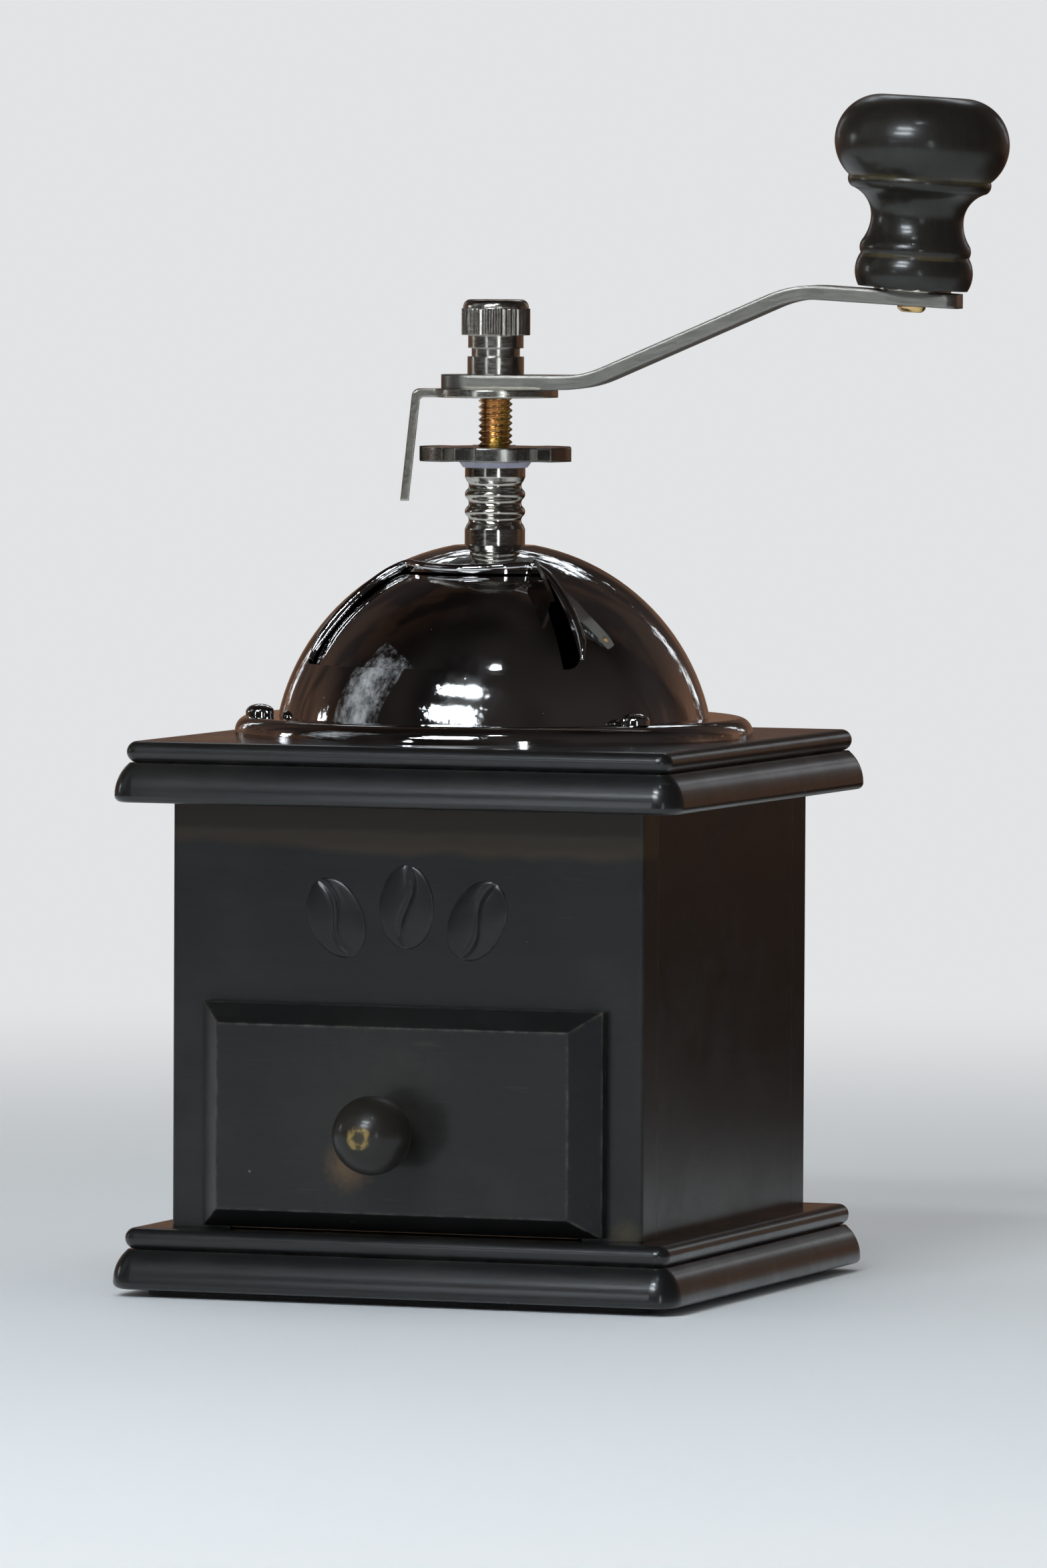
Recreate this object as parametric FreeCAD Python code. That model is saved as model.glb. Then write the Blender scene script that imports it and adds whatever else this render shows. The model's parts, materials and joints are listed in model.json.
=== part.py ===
import FreeCAD, Part
import math
import os

from FreeCAD import Vector

# Hand-cranked box coffee mill. Millimetres, +Z up, origin on the shaft axis at the underside of the felt.
# The front, with the drawer and the hopper window, faces -Y. The crank rests close to +X.

# Share of a screw head's height that is its upright side
screw_side_share = 0.35

# Wooden case
case_width = 90.0
case_depth = 90.0
panel_height = 76.8
panel_thickness = 8.0
panel_edge_round = 0.8
felt_thickness = 1.4
felt_inset = 5.0
base_screw_head_radius = 3.4
base_screw_head_height = 2.4
base_screw_radius = 1.6
base_screw_length = 22.0
base_screw_side_inset = 6.0

# Moulded plates at the foot and the top of the case
plate_height = 11.0
plate_overhang = 9.2
plate_corner_radius = 4.6
torus_height = 7.1
torus_draw_in = 2.7
torus_foot_round = 1.2
bead_set_back = 2.2

# Drawer
drawer_height = 34.0
drawer_back_room = 7.2
drawer_board = 5.0
drawer_floor = 3.0
drawer_lift = 0.3
drawer_side_play = 0.4
drawer_slot_play = 0.6
drawer_slot_headroom = 1.3
drawer_stop_gap = 0.2
guide_thickness = 3.6
guide_height = 8.0
front_margin = 5.2
front_height = 40.5
front_thickness = 7.4
front_edge = 2.0
front_side_bevel = 4.7
front_level_bevel = 3.5
front_lift = 0.6
pull_height = 18.4
pull_radius = 7.1
pull_neck_radius = 3.0
pull_neck_length = 2.2
pull_foot_radius = 3.8
pull_foot_length = 1.0
pull_screw_radius = 1.5
pull_screw_reach = 6.0
pull_screw_head_radius = 3.0
pull_screw_head_height = 1.8

# Hopper dome of pressed sheet
dome_radius = 40.2
dome_sink = 4.9
dome_sheet = 1.0
dome_crown_radius = 7.5
dome_turn = -3.5
pan_margin = 7.0
pan_edge_round = 2.8
pan_height = 3.5
window_half_angle = 50.0
window_top_angle = 27.0
window_bottom_angle = 63.0
window_corner_radius = 3.0
dome_screw_margin = 2.6
dome_screw_count = 3
dome_screw_first_angle = -30.0
dome_screw_head_radius = 2.6
dome_screw_head_height = 2.2
dome_screw_radius = 1.3
dome_screw_length = 11.0

# Hopper door, a shutter that turns inside the dome
door_gap = 0.35
door_sheet = 0.8
door_left_angle = -60.0
door_right_angle = 41.3
door_foot_angle = 74.0
door_collar_radius = 9.0
door_lip_top_angle = 29.0
door_lip_foot_angle = 45.0
door_lip_height = 2.6
door_lip_angle = 1.6

# Bearing sleeve on the dome
sleeve_radius = 5.5
sleeve_height = 14.2
sleeve_foot_height = 3.0
sleeve_rib_pitch = 3.15
sleeve_rib_count = 2
sleeve_rib_depth = 0.7
spigot_radius = 4.5
spigot_play = 0.1
spigot_length = 7.0
sleeve_washer_radius = 8.0
sleeve_washer_thickness = 0.8
lock_nut_width = 12.0
lock_nut_height = 3.0

# Shaft and grind adjustment
shaft_radius = 3.1
running_play = 0.06
seat_play = 0.03
shaft_tail = 1.0
shaft_neck_radius = 2.6
shaft_flat = 2.0
shaft_neck_reach = 8.5
thrust_washer_top_radius = 6.7
thrust_washer_foot_radius = 5.9
thrust_washer_thickness = 1.15
wheel_radius = 14.2
wheel_thickness = 2.6
wheel_lobes = 6
wheel_notch_radius = 10.8
wheel_notch_angle = 28.0
thread_shown = 9.0
lock_plate_radius = 11.4
lock_plate_thickness = 1.5
lock_tab_width = 7.0
lock_tab_drop = 20.3
lock_tab_lean = 6.0
lock_tab_play = 0.5
lock_tab_turn = 11.0

# Crank
crank_angle = 10.0
arm_width = 12.0
arm_thickness = 2.6
arm_hub_reach = 10.0
arm_flat_reach = 17.4
arm_rise_reach = 55.8
arm_rise_angle = 23.8
arm_droop_angle = 3.4
arm_end_margin = 8.7
arm_end_round = 2.5
arm_bend_round = 18.0
crank_length = 76.5
nut_foot_radius = 5.15
nut_foot_height = 3.3
nut_groove_radius = 4.4
nut_groove_height = 1.55
nut_collar_radius = 5.05
nut_collar_height = 2.35
nut_grip_radius = 6.25
nut_grip_height = 4.85
nut_grip_grooves = 40
nut_grip_groove_depth = 0.3
nut_crown_height = 1.65
nut_crown_radius = 4.6
nut_thread_depth = 9.5

# Crank knob, measured up from its foot
knob_height = 34.8
knob_foot_radius = 9.9
knob_bulge_radius = 10.7
knob_bulge_height = 3.1
knob_groove_radius = 9.85
knob_groove_height = 6.0
knob_bead_radius = 10.1
knob_bead_height = 7.2
knob_ring_radius = 9.75
knob_ring_height = 8.3
knob_waist_radius = 8.4
knob_waist_height = 12.6
knob_neck_radius = 12.2
knob_neck_height = 17.8
knob_collar_radius = 12.95
knob_collar_height = 18.8
knob_seam_radius = 12.9
knob_seam_height = 19.9
knob_head_radius = 15.85
knob_head_height = 26.4
knob_crown_radius = 7.5
knob_washer_radius = 7.0
knob_washer_thickness = 0.5
spindle_radius = 2.4
spindle_height = 20.0
spindle_head_radius = 3.9
spindle_head_height = 2.0
spindle_rivet_radius = 2.6
spindle_rivet_height = 1.2
spindle_head_play = 0.3
knob_bore_radius = 4.4
knob_plug_length = 6.0

# Burr set under the lid
flange_margin = 1.0
flange_thickness = 3.0
flange_play = 0.3
flange_screw_margin = 2.5
flange_screw_count = 3
flange_screw_first_angle = 30.0
flange_screw_head_radius = 1.9
flange_screw_head_height = 1.2
flange_screw_radius = 1.0
flange_screw_length = 9.0
funnel_ledge = 5.0
funnel_throat_radius = 29.0
funnel_depth = 12.2
ledge_depth = 15.2
throat_radius = 19.5
housing_wall = 3.0
bridge_half_length = 27.5
bridge_width = 10.0
bridge_thickness = 3.0
bridge_hub_radius = 7.0
bridge_hub_height = 6.0
bridge_screw_reach = 24.0
bridge_screw_radius = 1.5
bridge_screw_length = 8.0
bridge_screw_head_radius = 2.9
bridge_screw_head_height = 2.0
spring_length = 9.0
spring_mean_radius = 4.7
spring_wire = 1.0
spring_wire_sides = 8
spring_turns = 3
spring_seat_gap = 0.1
burr_height = 18.0
burr_foot_radius = 17.5
burr_top_radius = 9.0
burr_fine_height = 7.0
burr_fine_teeth = 24
burr_fine_depth = 1.1
burr_coarse_vanes = 6
burr_coarse_depth = 3.2
burr_twist = 48.0
burr_gap = 0.8
ring_radius = 22.0
ring_mouth_radius = 17.2
ring_mouth_drop = 3.0
ring_foot_lift = 0.5
ring_fine_height = 5.5
ring_teeth = 30
ring_tooth_depth = 1.0
burr_washer_radius = 7.0
burr_washer_thickness = 1.4
burr_nut_width = 10.0
burr_nut_height = 4.0

# Levels worked out from the sizes above
base_top = felt_thickness + plate_height
case_top = base_top + panel_height
lid_top = case_top + plate_height
dome_centre = lid_top - dome_sink
crown_level = dome_centre + math.sqrt(dome_radius ** 2 - dome_crown_radius ** 2)
pan_radius = dome_radius + pan_margin
dome_screw_circle = dome_radius + dome_screw_margin
flange_radius = dome_screw_circle - dome_screw_radius - flange_margin
flange_screw_circle = flange_radius - flange_screw_margin
funnel_mouth_radius = flange_radius - funnel_ledge
door_level = crown_level - dome_sheet - door_gap
sleeve_washer_top = door_level - door_sheet
sleeve_top = crown_level + sleeve_height
wheel_foot = sleeve_top + thrust_washer_thickness
wheel_top = wheel_foot + wheel_thickness
neck_level = wheel_top + thread_shown
arm_foot = neck_level + lock_plate_thickness
arm_top = arm_foot + arm_thickness
ledge_level = lid_top - ledge_depth
burr_top = ledge_level - spring_length
burr_foot = burr_top - burr_height
ring_top = burr_top - ring_mouth_drop
ring_foot = burr_foot + ring_foot_lift
burr_washer_foot = burr_foot - burr_washer_thickness
burr_nut_foot = burr_washer_foot - burr_nut_height
shaft_foot = burr_nut_foot - shaft_tail
front_face = -case_depth / 2
drawer_face = front_face - drawer_stop_gap
drawer_width = case_width - 2 * (panel_thickness + guide_thickness + drawer_side_play)
drawer_length = case_depth / 2 - panel_thickness - drawer_back_room - drawer_face
front_width = drawer_width + 2 * front_margin
drawer_foot = base_top + drawer_lift
front_foot = base_top + front_lift
pull_level = front_foot + pull_height
field_face = drawer_face - front_thickness

UP = Vector(0, 0, 1)
ORIGIN = Vector(0, 0, 0)


def sine(angle):
    return math.sin(math.radians(angle))


def cosine(angle):
    return math.cos(math.radians(angle))


def tangent(angle):
    return math.tan(math.radians(angle))


def block(low, high):
    """Box between two corners."""
    low = Vector(*low)
    size = Vector(*high) - low
    return Part.makeBox(size.x, size.y, size.z, low)


def rod(radius, foot, top, x=0.0, y=0.0):
    """Upright cylinder between two levels."""
    return Part.makeCylinder(radius, top - foot, Vector(x, y, foot))


def outline(steps):
    """Face in the XZ plane. A step is a point, or a pair of points for an arc through the first."""
    edges = []
    here = steps[0]
    for step in steps[1:] + steps[:1]:
        if isinstance(step[0], tuple):
            middle, end = step
            places = [Vector(a, 0, b) for a, b in (here, middle, end)]
            edges.append(Part.Arc(*places).toShape())
        else:
            end = step
            if math.dist(here, end) > 1e-6:
                edges.append(Part.makeLine(Vector(here[0], 0, here[1]), Vector(end[0], 0, end[1])))
        here = end
    return Part.Face(Part.Wire(edges))


def turned(steps, angle=360.0):
    """Solid of revolution about Z from an outline in radius and height."""
    return outline(steps).revolve(ORIGIN, UP, angle)


def around(shape, angle):
    """Copy of a shape turned about Z."""
    copy = shape.copy()
    copy.rotate(ORIGIN, UP, angle)
    return copy


def on_arc(centre, radius, angle):
    """Point of a circle in the XZ plane, the angle counted from straight up towards +X."""
    return (centre[0] + radius * sine(angle), centre[1] + radius * cosine(angle))


def fused(shapes):
    """One solid from several that meet."""
    return shapes[0].multiFuse(shapes[1:]).removeSplitter()


def screw(head_radius, head_height, shank_radius, length):
    """Domed-head screw with the underside of its head at the origin, pointing down."""
    side = head_height * screw_side_share
    rise = head_height - side
    crown_radius = (head_radius ** 2 + rise ** 2) / (2 * rise)
    crown_turn = math.degrees(math.asin(head_radius / crown_radius))
    crown_centre = (0.0, head_height - crown_radius)
    return turned([
        (0.0, -length),
        (shank_radius, -length + shank_radius),
        (shank_radius, 0.0),
        (head_radius, 0.0),
        (head_radius, side),
        (on_arc(crown_centre, crown_radius, crown_turn / 2), (0.0, head_height)),
    ])


def ring_places(radius, count, first_angle):
    """Evenly spaced places on a circle about the shaft."""
    angles = [first_angle + 360.0 * i / count for i in range(count)]
    return [(radius * cosine(a), radius * sine(a)) for a in angles]


def hex_bar(width, foot, top):
    """Hexagonal bar, its width measured across flats."""
    corner = width / 2 / cosine(30)
    corners = [Vector(corner * cosine(60 * i), corner * sine(60 * i), foot) for i in range(7)]
    return Part.Face(Part.makePolygon(corners)).extrude(UP * (top - foot))


def double_flat_bar(radius, flat, foot, top):
    """Round bar with two flats that face the width of the crank arm."""
    return rod(radius, foot, top).common(block((-radius, -flat, foot), (radius, flat, top)))


def star(teeth, tip, root, level, turn):
    """Closed zigzag with one tip per tooth."""
    half_tooth = 180.0 / teeth
    corners = []
    for i in range(2 * teeth):
        radius = tip if i % 2 == 0 else root
        angle = turn + half_tooth * i
        corners.append(Vector(radius * cosine(angle), radius * sine(angle), level))
    return Part.makePolygon(corners + corners[:1])


# Wooden case

def moulded_plate(foot):
    """Square plate with a torus and a bead along all four edges."""
    half_x = case_width / 2 + plate_overhang - plate_corner_radius
    half_y = case_depth / 2 + plate_overhang - plate_corner_radius
    edge = plate_corner_radius
    bead_radius = (plate_height - torus_height) / 2
    bead_centre = edge - bead_set_back - bead_radius
    rise = torus_height - torus_foot_round
    torus_radius = (torus_draw_in ** 2 + rise ** 2) / (2 * torus_draw_in)
    torus_turn = math.degrees(math.asin(rise / torus_radius))
    foot_centre = (edge - torus_foot_round, torus_foot_round)
    torus_centre = (edge - torus_radius, torus_foot_round)
    profile = outline([
        (0.0, 0.0),
        (edge - torus_foot_round, 0.0),
        (on_arc(foot_centre, torus_foot_round, 135), (edge, torus_foot_round)),
        (on_arc(torus_centre, torus_radius, 90 - torus_turn / 2), (edge - torus_draw_in, torus_height)),
        (bead_centre, torus_height),
        ((bead_centre + bead_radius, torus_height + bead_radius), (bead_centre, plate_height)),
        (0.0, plate_height),
    ])
    pieces = [block((-half_x, -half_y, 0), (half_x, half_y, plate_height))]
    corner = profile.revolve(ORIGIN, UP, 90)
    for i, (x, y) in enumerate([(half_x, half_y), (-half_x, half_y), (-half_x, -half_y), (half_x, -half_y)]):
        along, out = (half_y, half_x) if i % 2 == 0 else (half_x, half_y)
        side = profile.extrude(Vector(0, 2 * along, 0)).translated(Vector(out, -along, 0))
        pieces.append(around(side, 90 * i))
        pieces.append(around(corner, 90 * i).translated(Vector(x, y, 0)))
    return fused(pieces).translated(Vector(0, 0, foot))


def base_screw_places():
    """Screws that come up through the base into the front and back panels."""
    x = case_width / 2 - base_screw_side_inset
    y = case_depth / 2 - panel_thickness / 2
    return [(sx * x, sy * y) for sx in (-1, 1) for sy in (-1, 1)]


def make_base_felt():
    half_x = case_width / 2 + plate_overhang - felt_inset
    half_y = case_depth / 2 + plate_overhang - felt_inset
    sheet = block((-half_x, -half_y, 0), (half_x, half_y, felt_thickness))
    upright = [e for e in sheet.Edges if abs(e.tangentAt(e.FirstParameter).z) > 0.9]
    return sheet.makeFillet(plate_corner_radius, upright)


def make_base_plate():
    plate = moulded_plate(felt_thickness)
    for x, y in base_screw_places():
        plate = plate.cut(rod(base_screw_radius + seat_play, felt_thickness, base_top, x, y))
        plate = plate.cut(rod(base_screw_head_radius + seat_play, felt_thickness,
                              felt_thickness + base_screw_head_height, x, y))
    return plate


def make_base_screws():
    upside_down = screw(base_screw_head_radius, base_screw_head_height, base_screw_radius, base_screw_length)
    upside_down.rotate(ORIGIN, Vector(1, 0, 0), 180)
    seat = felt_thickness + base_screw_head_height
    return Part.makeCompound([upside_down.translated(Vector(x, y, seat)) for x, y in base_screw_places()])


def bored_for_base_screws(panel):
    tip = felt_thickness + base_screw_head_height + base_screw_length
    for x, y in base_screw_places():
        panel = panel.cut(rod(base_screw_radius + seat_play, base_top, tip, x, y))
    return panel


def softened(panel, edges):
    """Panel with the given outside edges rounded over."""
    return panel.makeFillet(min(panel_edge_round, panel_thickness / 3), edges)


def upright_edges_at(panel, y):
    return [e for e in panel.Edges
            if abs(e.tangentAt(e.FirstParameter).z) > 0.9
            and abs(e.CenterOfMass.y - y) < 0.01 and abs(abs(e.CenterOfMass.x) - case_width / 2) < 0.01]


def make_front_panel():
    inner = front_face + panel_thickness
    panel = block((-case_width / 2, front_face, base_top), (case_width / 2, inner, case_top))
    panel = softened(panel, upright_edges_at(panel, front_face))
    slot_half = drawer_width / 2 + drawer_slot_play
    slot_top = drawer_foot + drawer_height + drawer_slot_headroom
    panel = panel.cut(block((-slot_half, front_face, base_top), (slot_half, inner, slot_top)))
    return bored_for_base_screws(panel)


def make_back_panel():
    back_face = case_depth / 2
    panel = block((-case_width / 2, back_face - panel_thickness, base_top), (case_width / 2, back_face, case_top))
    return bored_for_base_screws(softened(panel, upright_edges_at(panel, back_face)))


def make_side_panel(side):
    half_y = case_depth / 2 - panel_thickness
    xs = sorted([side * case_width / 2, side * (case_width / 2 - panel_thickness)])
    return block((xs[0], -half_y, base_top), (xs[1], half_y, case_top))


def make_drawer_guide(side):
    half_y = case_depth / 2 - panel_thickness
    xs = sorted([side * (drawer_width / 2 + drawer_side_play), side * (case_width / 2 - panel_thickness)])
    return block((xs[0], -half_y, base_top), (xs[1], half_y, base_top + guide_height))


def dome_screw_places():
    return ring_places(dome_screw_circle, dome_screw_count, dome_screw_first_angle + dome_turn)


def flange_screw_places():
    return ring_places(flange_screw_circle, flange_screw_count, flange_screw_first_angle)


def make_top_plate():
    plate = moulded_plate(case_top)
    plate = plate.cut(rod(flange_radius + flange_play, lid_top - flange_thickness, lid_top))
    plate = plate.cut(rod(funnel_mouth_radius + flange_play, case_top, lid_top))
    screw_tip = lid_top + pan_height - dome_screw_length
    for x, y in dome_screw_places():
        plate = plate.cut(rod(dome_screw_radius + seat_play, screw_tip, lid_top, x, y))
    for x, y in flange_screw_places():
        plate = plate.cut(rod(flange_screw_radius + seat_play, lid_top - flange_screw_length, lid_top, x, y))
    return plate


# Drawer

def make_drawer_front():
    half = front_width / 2
    top = front_foot + front_height
    edge_face = drawer_face - front_edge
    slab = block((-half, edge_face, front_foot), (half, drawer_face, top))
    rim = rectangle(half, front_foot, top, edge_face)
    field = rectangle(half - front_side_bevel, front_foot + front_level_bevel, top - front_level_bevel, field_face)
    board = fused([slab, Part.makeLoft([rim, field], True, True)])
    hole = Part.makeCylinder(pull_screw_radius + seat_play, front_thickness,
                             Vector(0, field_face, pull_level), Vector(0, 1, 0))
    return board.cut(hole)


def rectangle(half, foot, top, y):
    corners = [Vector(-half, y, foot), Vector(half, y, foot), Vector(half, y, top), Vector(-half, y, top)]
    return Part.makePolygon(corners + corners[:1])


def make_drawer_side(side):
    xs = sorted([side * drawer_width / 2, side * (drawer_width / 2 - drawer_board)])
    return block((xs[0], drawer_face, drawer_foot), (xs[1], drawer_face + drawer_length, drawer_foot + drawer_height))


def make_drawer_back():
    half = drawer_width / 2 - drawer_board
    back = drawer_face + drawer_length
    return block((-half, back - drawer_board, drawer_foot), (half, back, drawer_foot + drawer_height))


def make_drawer_bottom():
    half = drawer_width / 2 - drawer_board
    back = drawer_face + drawer_length - drawer_board
    return block((-half, drawer_face, drawer_foot), (half, back, drawer_foot + drawer_floor))


def facing_front(shape):
    """Shape that was made along +Z at the origin, laid along -Y on the drawer's field."""
    shape.rotate(ORIGIN, Vector(1, 0, 0), 90)
    return shape.translated(Vector(0, field_face, pull_level))


def make_drawer_pull():
    neck_top = pull_foot_length + pull_neck_length
    ball_centre = neck_top + math.sqrt(pull_radius ** 2 - pull_neck_radius ** 2)
    ball = turned([
        (0.0, 0.0),
        (pull_foot_radius, 0.0),
        (pull_foot_radius, pull_foot_length),
        (pull_neck_radius, pull_foot_length),
        (pull_neck_radius, neck_top),
        ((pull_radius, ball_centre), (0.0, ball_centre + pull_radius)),
    ])
    return facing_front(ball.cut(rod(pull_screw_radius + seat_play, 0.0, pull_screw_reach)))


def make_drawer_pull_screw():
    length = front_thickness + pull_screw_reach
    shape = screw(pull_screw_head_radius, pull_screw_head_height, pull_screw_radius, length)
    shape.rotate(ORIGIN, Vector(1, 0, 0), 180)
    return facing_front(shape.translated(Vector(0, 0, -front_thickness)))


# Hopper dome and its door

def sphere_radius_at(radius, level):
    return math.sqrt(radius ** 2 - (level - dome_centre) ** 2)


def shell_sector(radius, depth, top_angle, foot_angle, start, end):
    """Part of a spherical shell about the dome's centre, its azimuths counted from the front."""
    centre = (0.0, dome_centre)
    middle = (top_angle + foot_angle) / 2
    inner = radius - depth
    wedge = turned([
        on_arc(centre, inner, top_angle),
        on_arc(centre, radius, top_angle),
        (on_arc(centre, radius, middle), on_arc(centre, radius, foot_angle)),
        on_arc(centre, inner, foot_angle),
        (on_arc(centre, inner, middle), on_arc(centre, inner, top_angle)),
    ], end - start)
    return around(wedge, start - 90)


def window_cutter():
    """Rounded patch of the dome, thick enough to cut through the sheet."""
    reach = dome_sheet
    patch = shell_sector(dome_radius + reach, dome_sheet + 2 * reach, window_top_angle, window_bottom_angle,
                         dome_turn - window_half_angle, dome_turn + window_half_angle)
    corners = [e for e in patch.Edges if e.Curve.TypeId == "Part::GeomLine"]
    return patch.makeFillet(window_corner_radius, corners)


def make_dome_shell():
    inner_radius = dome_radius - dome_sheet
    pan_top = lid_top + pan_height
    pan_under = pan_top - dome_sheet
    crown_under = crown_level - dome_sheet
    edge = (pan_radius - pan_edge_round, pan_top - pan_edge_round)
    inner_round = pan_edge_round - dome_sheet
    centre = (0.0, dome_centre)
    outer_turn = math.degrees(math.acos((pan_top - dome_centre) / dome_radius))
    inner_turn = math.degrees(math.acos((pan_under - dome_centre) / inner_radius))
    hole = spigot_radius + seat_play
    shell = turned([
        (pan_radius - dome_sheet, lid_top),
        (pan_radius, lid_top),
        on_arc(edge, pan_edge_round, 90),
        (on_arc(edge, pan_edge_round, 45), on_arc(edge, pan_edge_round, 0)),
        (sphere_radius_at(dome_radius, pan_top), pan_top),
        (on_arc(centre, dome_radius, outer_turn / 2), (dome_crown_radius, crown_level)),
        (hole, crown_level),
        (hole, crown_under),
        (sphere_radius_at(inner_radius, crown_under), crown_under),
        (on_arc(centre, inner_radius, inner_turn / 2), (sphere_radius_at(inner_radius, pan_under), pan_under)),
        on_arc(edge, inner_round, 0),
        (on_arc(edge, inner_round, 45), on_arc(edge, inner_round, 90)),
    ])
    shell = shell.cut(window_cutter())
    for x, y in dome_screw_places():
        shell = shell.cut(rod(dome_screw_radius + seat_play, lid_top, pan_top, x, y))
    return shell


def make_dome_screws():
    shape = screw(dome_screw_head_radius, dome_screw_head_height, dome_screw_radius, dome_screw_length)
    seat = lid_top + pan_height
    return Part.makeCompound([shape.translated(Vector(x, y, seat)) for x, y in dome_screw_places()])


def make_hopper_door():
    radius = dome_radius - dome_sheet - door_gap
    collar_angle = math.degrees(math.asin((door_collar_radius - door_sheet) / radius))
    leaf = shell_sector(radius, door_sheet, collar_angle, door_foot_angle, door_left_angle, door_right_angle)
    collar = rod(door_collar_radius, door_level - door_sheet, door_level)
    dome_inside = Part.makeSphere(radius, Vector(0, 0, dome_centre))
    lip = shell_sector(dome_radius + door_lip_height, door_lip_height + dome_sheet + door_gap + door_sheet,
                       door_lip_top_angle, door_lip_foot_angle,
                       door_right_angle - door_lip_angle, door_right_angle)
    door = fused([leaf, collar.common(dome_inside), lip])
    return door.cut(rod(spigot_radius + spigot_play, door_level - 2 * door_sheet, door_level))


# Bearing sleeve

def make_bearing_sleeve():
    bore = shaft_radius + running_play
    quarter = sleeve_rib_pitch / 4
    middle_radius = sleeve_radius - sleeve_rib_depth / 2
    level = crown_level + sleeve_foot_height + quarter
    steps = [
        (bore, sleeve_washer_top - spigot_length),
        (spigot_radius, sleeve_washer_top - spigot_length),
        (spigot_radius, crown_level),
        (sleeve_radius, crown_level),
        (sleeve_radius, crown_level + sleeve_foot_height),
        (middle_radius, level),
    ]
    for i in range(2 * sleeve_rib_count + 1):
        crest = sleeve_radius - sleeve_rib_depth if i % 2 == 0 else sleeve_radius
        steps.append(((crest, level + quarter), (middle_radius, level + 2 * quarter)))
        level += 2 * quarter
    steps += [
        (sleeve_radius, level + quarter),
        (sleeve_radius, sleeve_top),
        (bore, sleeve_top),
    ]
    return turned(steps)


def make_sleeve_washer():
    foot = sleeve_washer_top - sleeve_washer_thickness
    return rod(sleeve_washer_radius, foot, sleeve_washer_top).cut(
        rod(spigot_radius + seat_play, foot, sleeve_washer_top))


def make_sleeve_lock_nut():
    top = sleeve_washer_top - sleeve_washer_thickness
    foot = top - lock_nut_height
    return hex_bar(lock_nut_width, foot, top).cut(rod(spigot_radius + seat_play, foot, top))


# Shaft and grind adjustment

def make_shaft():
    neck_top = arm_top + shaft_neck_reach
    flats = double_flat_bar(shaft_neck_radius, shaft_flat, neck_level, arm_top)
    pieces = [
        rod(shaft_radius, shaft_foot, neck_level),
        around(flats, crank_angle),
        rod(shaft_neck_radius - seat_play, arm_top, neck_top),
    ]
    return fused(pieces)


def make_thrust_washer():
    bore = shaft_radius + running_play
    return turned([
        (bore, sleeve_top),
        (thrust_washer_foot_radius, sleeve_top),
        (thrust_washer_top_radius, wheel_foot),
        (bore, wheel_foot),
    ])


def make_adjusting_wheel():
    """Lobed wheel with one notch under the lock tab."""
    lobe_angle = 360.0 / wheel_lobes - wheel_notch_angle
    edges = []
    for i in range(wheel_lobes):
        start = crank_angle + 180 + lock_tab_turn + wheel_notch_angle / 2 + 360.0 * i / wheel_lobes
        lobe_end = start + lobe_angle
        notch_end = lobe_end + wheel_notch_angle
        lobe = [flat_point(wheel_radius, a) for a in (start, start + lobe_angle / 2, lobe_end)]
        notch = [flat_point(wheel_notch_radius, a)
                 for a in (lobe_end, lobe_end + wheel_notch_angle / 2, notch_end)]
        edges.append(Part.Arc(*lobe).toShape())
        edges.append(Part.makeLine(lobe[2], notch[0]))
        edges.append(Part.Arc(*notch).toShape())
        edges.append(Part.makeLine(notch[2], flat_point(wheel_radius, notch_end)))
    wheel = Part.Face(Part.Wire(edges)).extrude(UP * wheel_thickness)
    wheel = wheel.cut(rod(shaft_radius + running_play, 0, wheel_thickness))
    return wheel.translated(Vector(0, 0, wheel_foot))


def flat_point(radius, angle):
    return Vector(radius * cosine(angle), radius * sine(angle), 0)


def make_lock_plate():
    """Disc on the shaft's shoulder with a tab bent down past the wheel."""
    lean = tangent(lock_tab_lean)
    thickness = lock_plate_thickness
    tab_inner = wheel_radius + lock_tab_play - lean * (neck_level - wheel_top)
    tab_foot = arm_foot - lock_tab_drop
    foot_inner = tab_inner + lean * (neck_level - tab_foot)
    skin = thickness / cosine(lock_tab_lean)
    tab_outer_top = tab_inner + skin - lean * thickness
    tab = outline([
        (shaft_radius * 2, arm_foot),
        (tab_outer_top, arm_foot),
        (foot_inner + skin, tab_foot),
        (foot_inner, tab_foot),
        (tab_inner, neck_level),
        (shaft_radius * 2, neck_level),
    ]).extrude(Vector(0, lock_tab_width, 0)).translated(Vector(0, -lock_tab_width / 2, 0))
    tab = tab.makeFillet(thickness / 2, edges_across(tab, tab_inner, neck_level))
    tab = tab.makeFillet(thickness, edges_across(tab, tab_outer_top, arm_foot))
    plate = fused([rod(lock_plate_radius, neck_level, arm_foot), around(tab, 180 + lock_tab_turn)])
    plate = plate.cut(double_flat_bar(shaft_neck_radius + seat_play, shaft_flat + seat_play, neck_level, arm_foot))
    return around(plate, crank_angle)


def edges_across(shape, x, z):
    """Edges that run along Y through a point of the XZ plane."""
    return [e for e in shape.Edges
            if abs(e.CenterOfMass.x - x) < 0.01 and abs(e.CenterOfMass.z - z) < 0.01
            and abs(e.tangentAt(e.FirstParameter).y) > 0.9]


# Crank

def arm_stations():
    """Corners of the arm's underside, from the hub end to the knob end."""
    rise = (arm_rise_reach - arm_flat_reach) * tangent(arm_rise_angle)
    end_reach = crank_length + arm_end_margin
    fall = (end_reach - arm_rise_reach) * tangent(arm_droop_angle)
    return [
        (-arm_hub_reach, arm_foot),
        (arm_flat_reach, arm_foot),
        (arm_rise_reach, arm_foot + rise),
        (end_reach, arm_foot + rise - fall),
    ]


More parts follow.
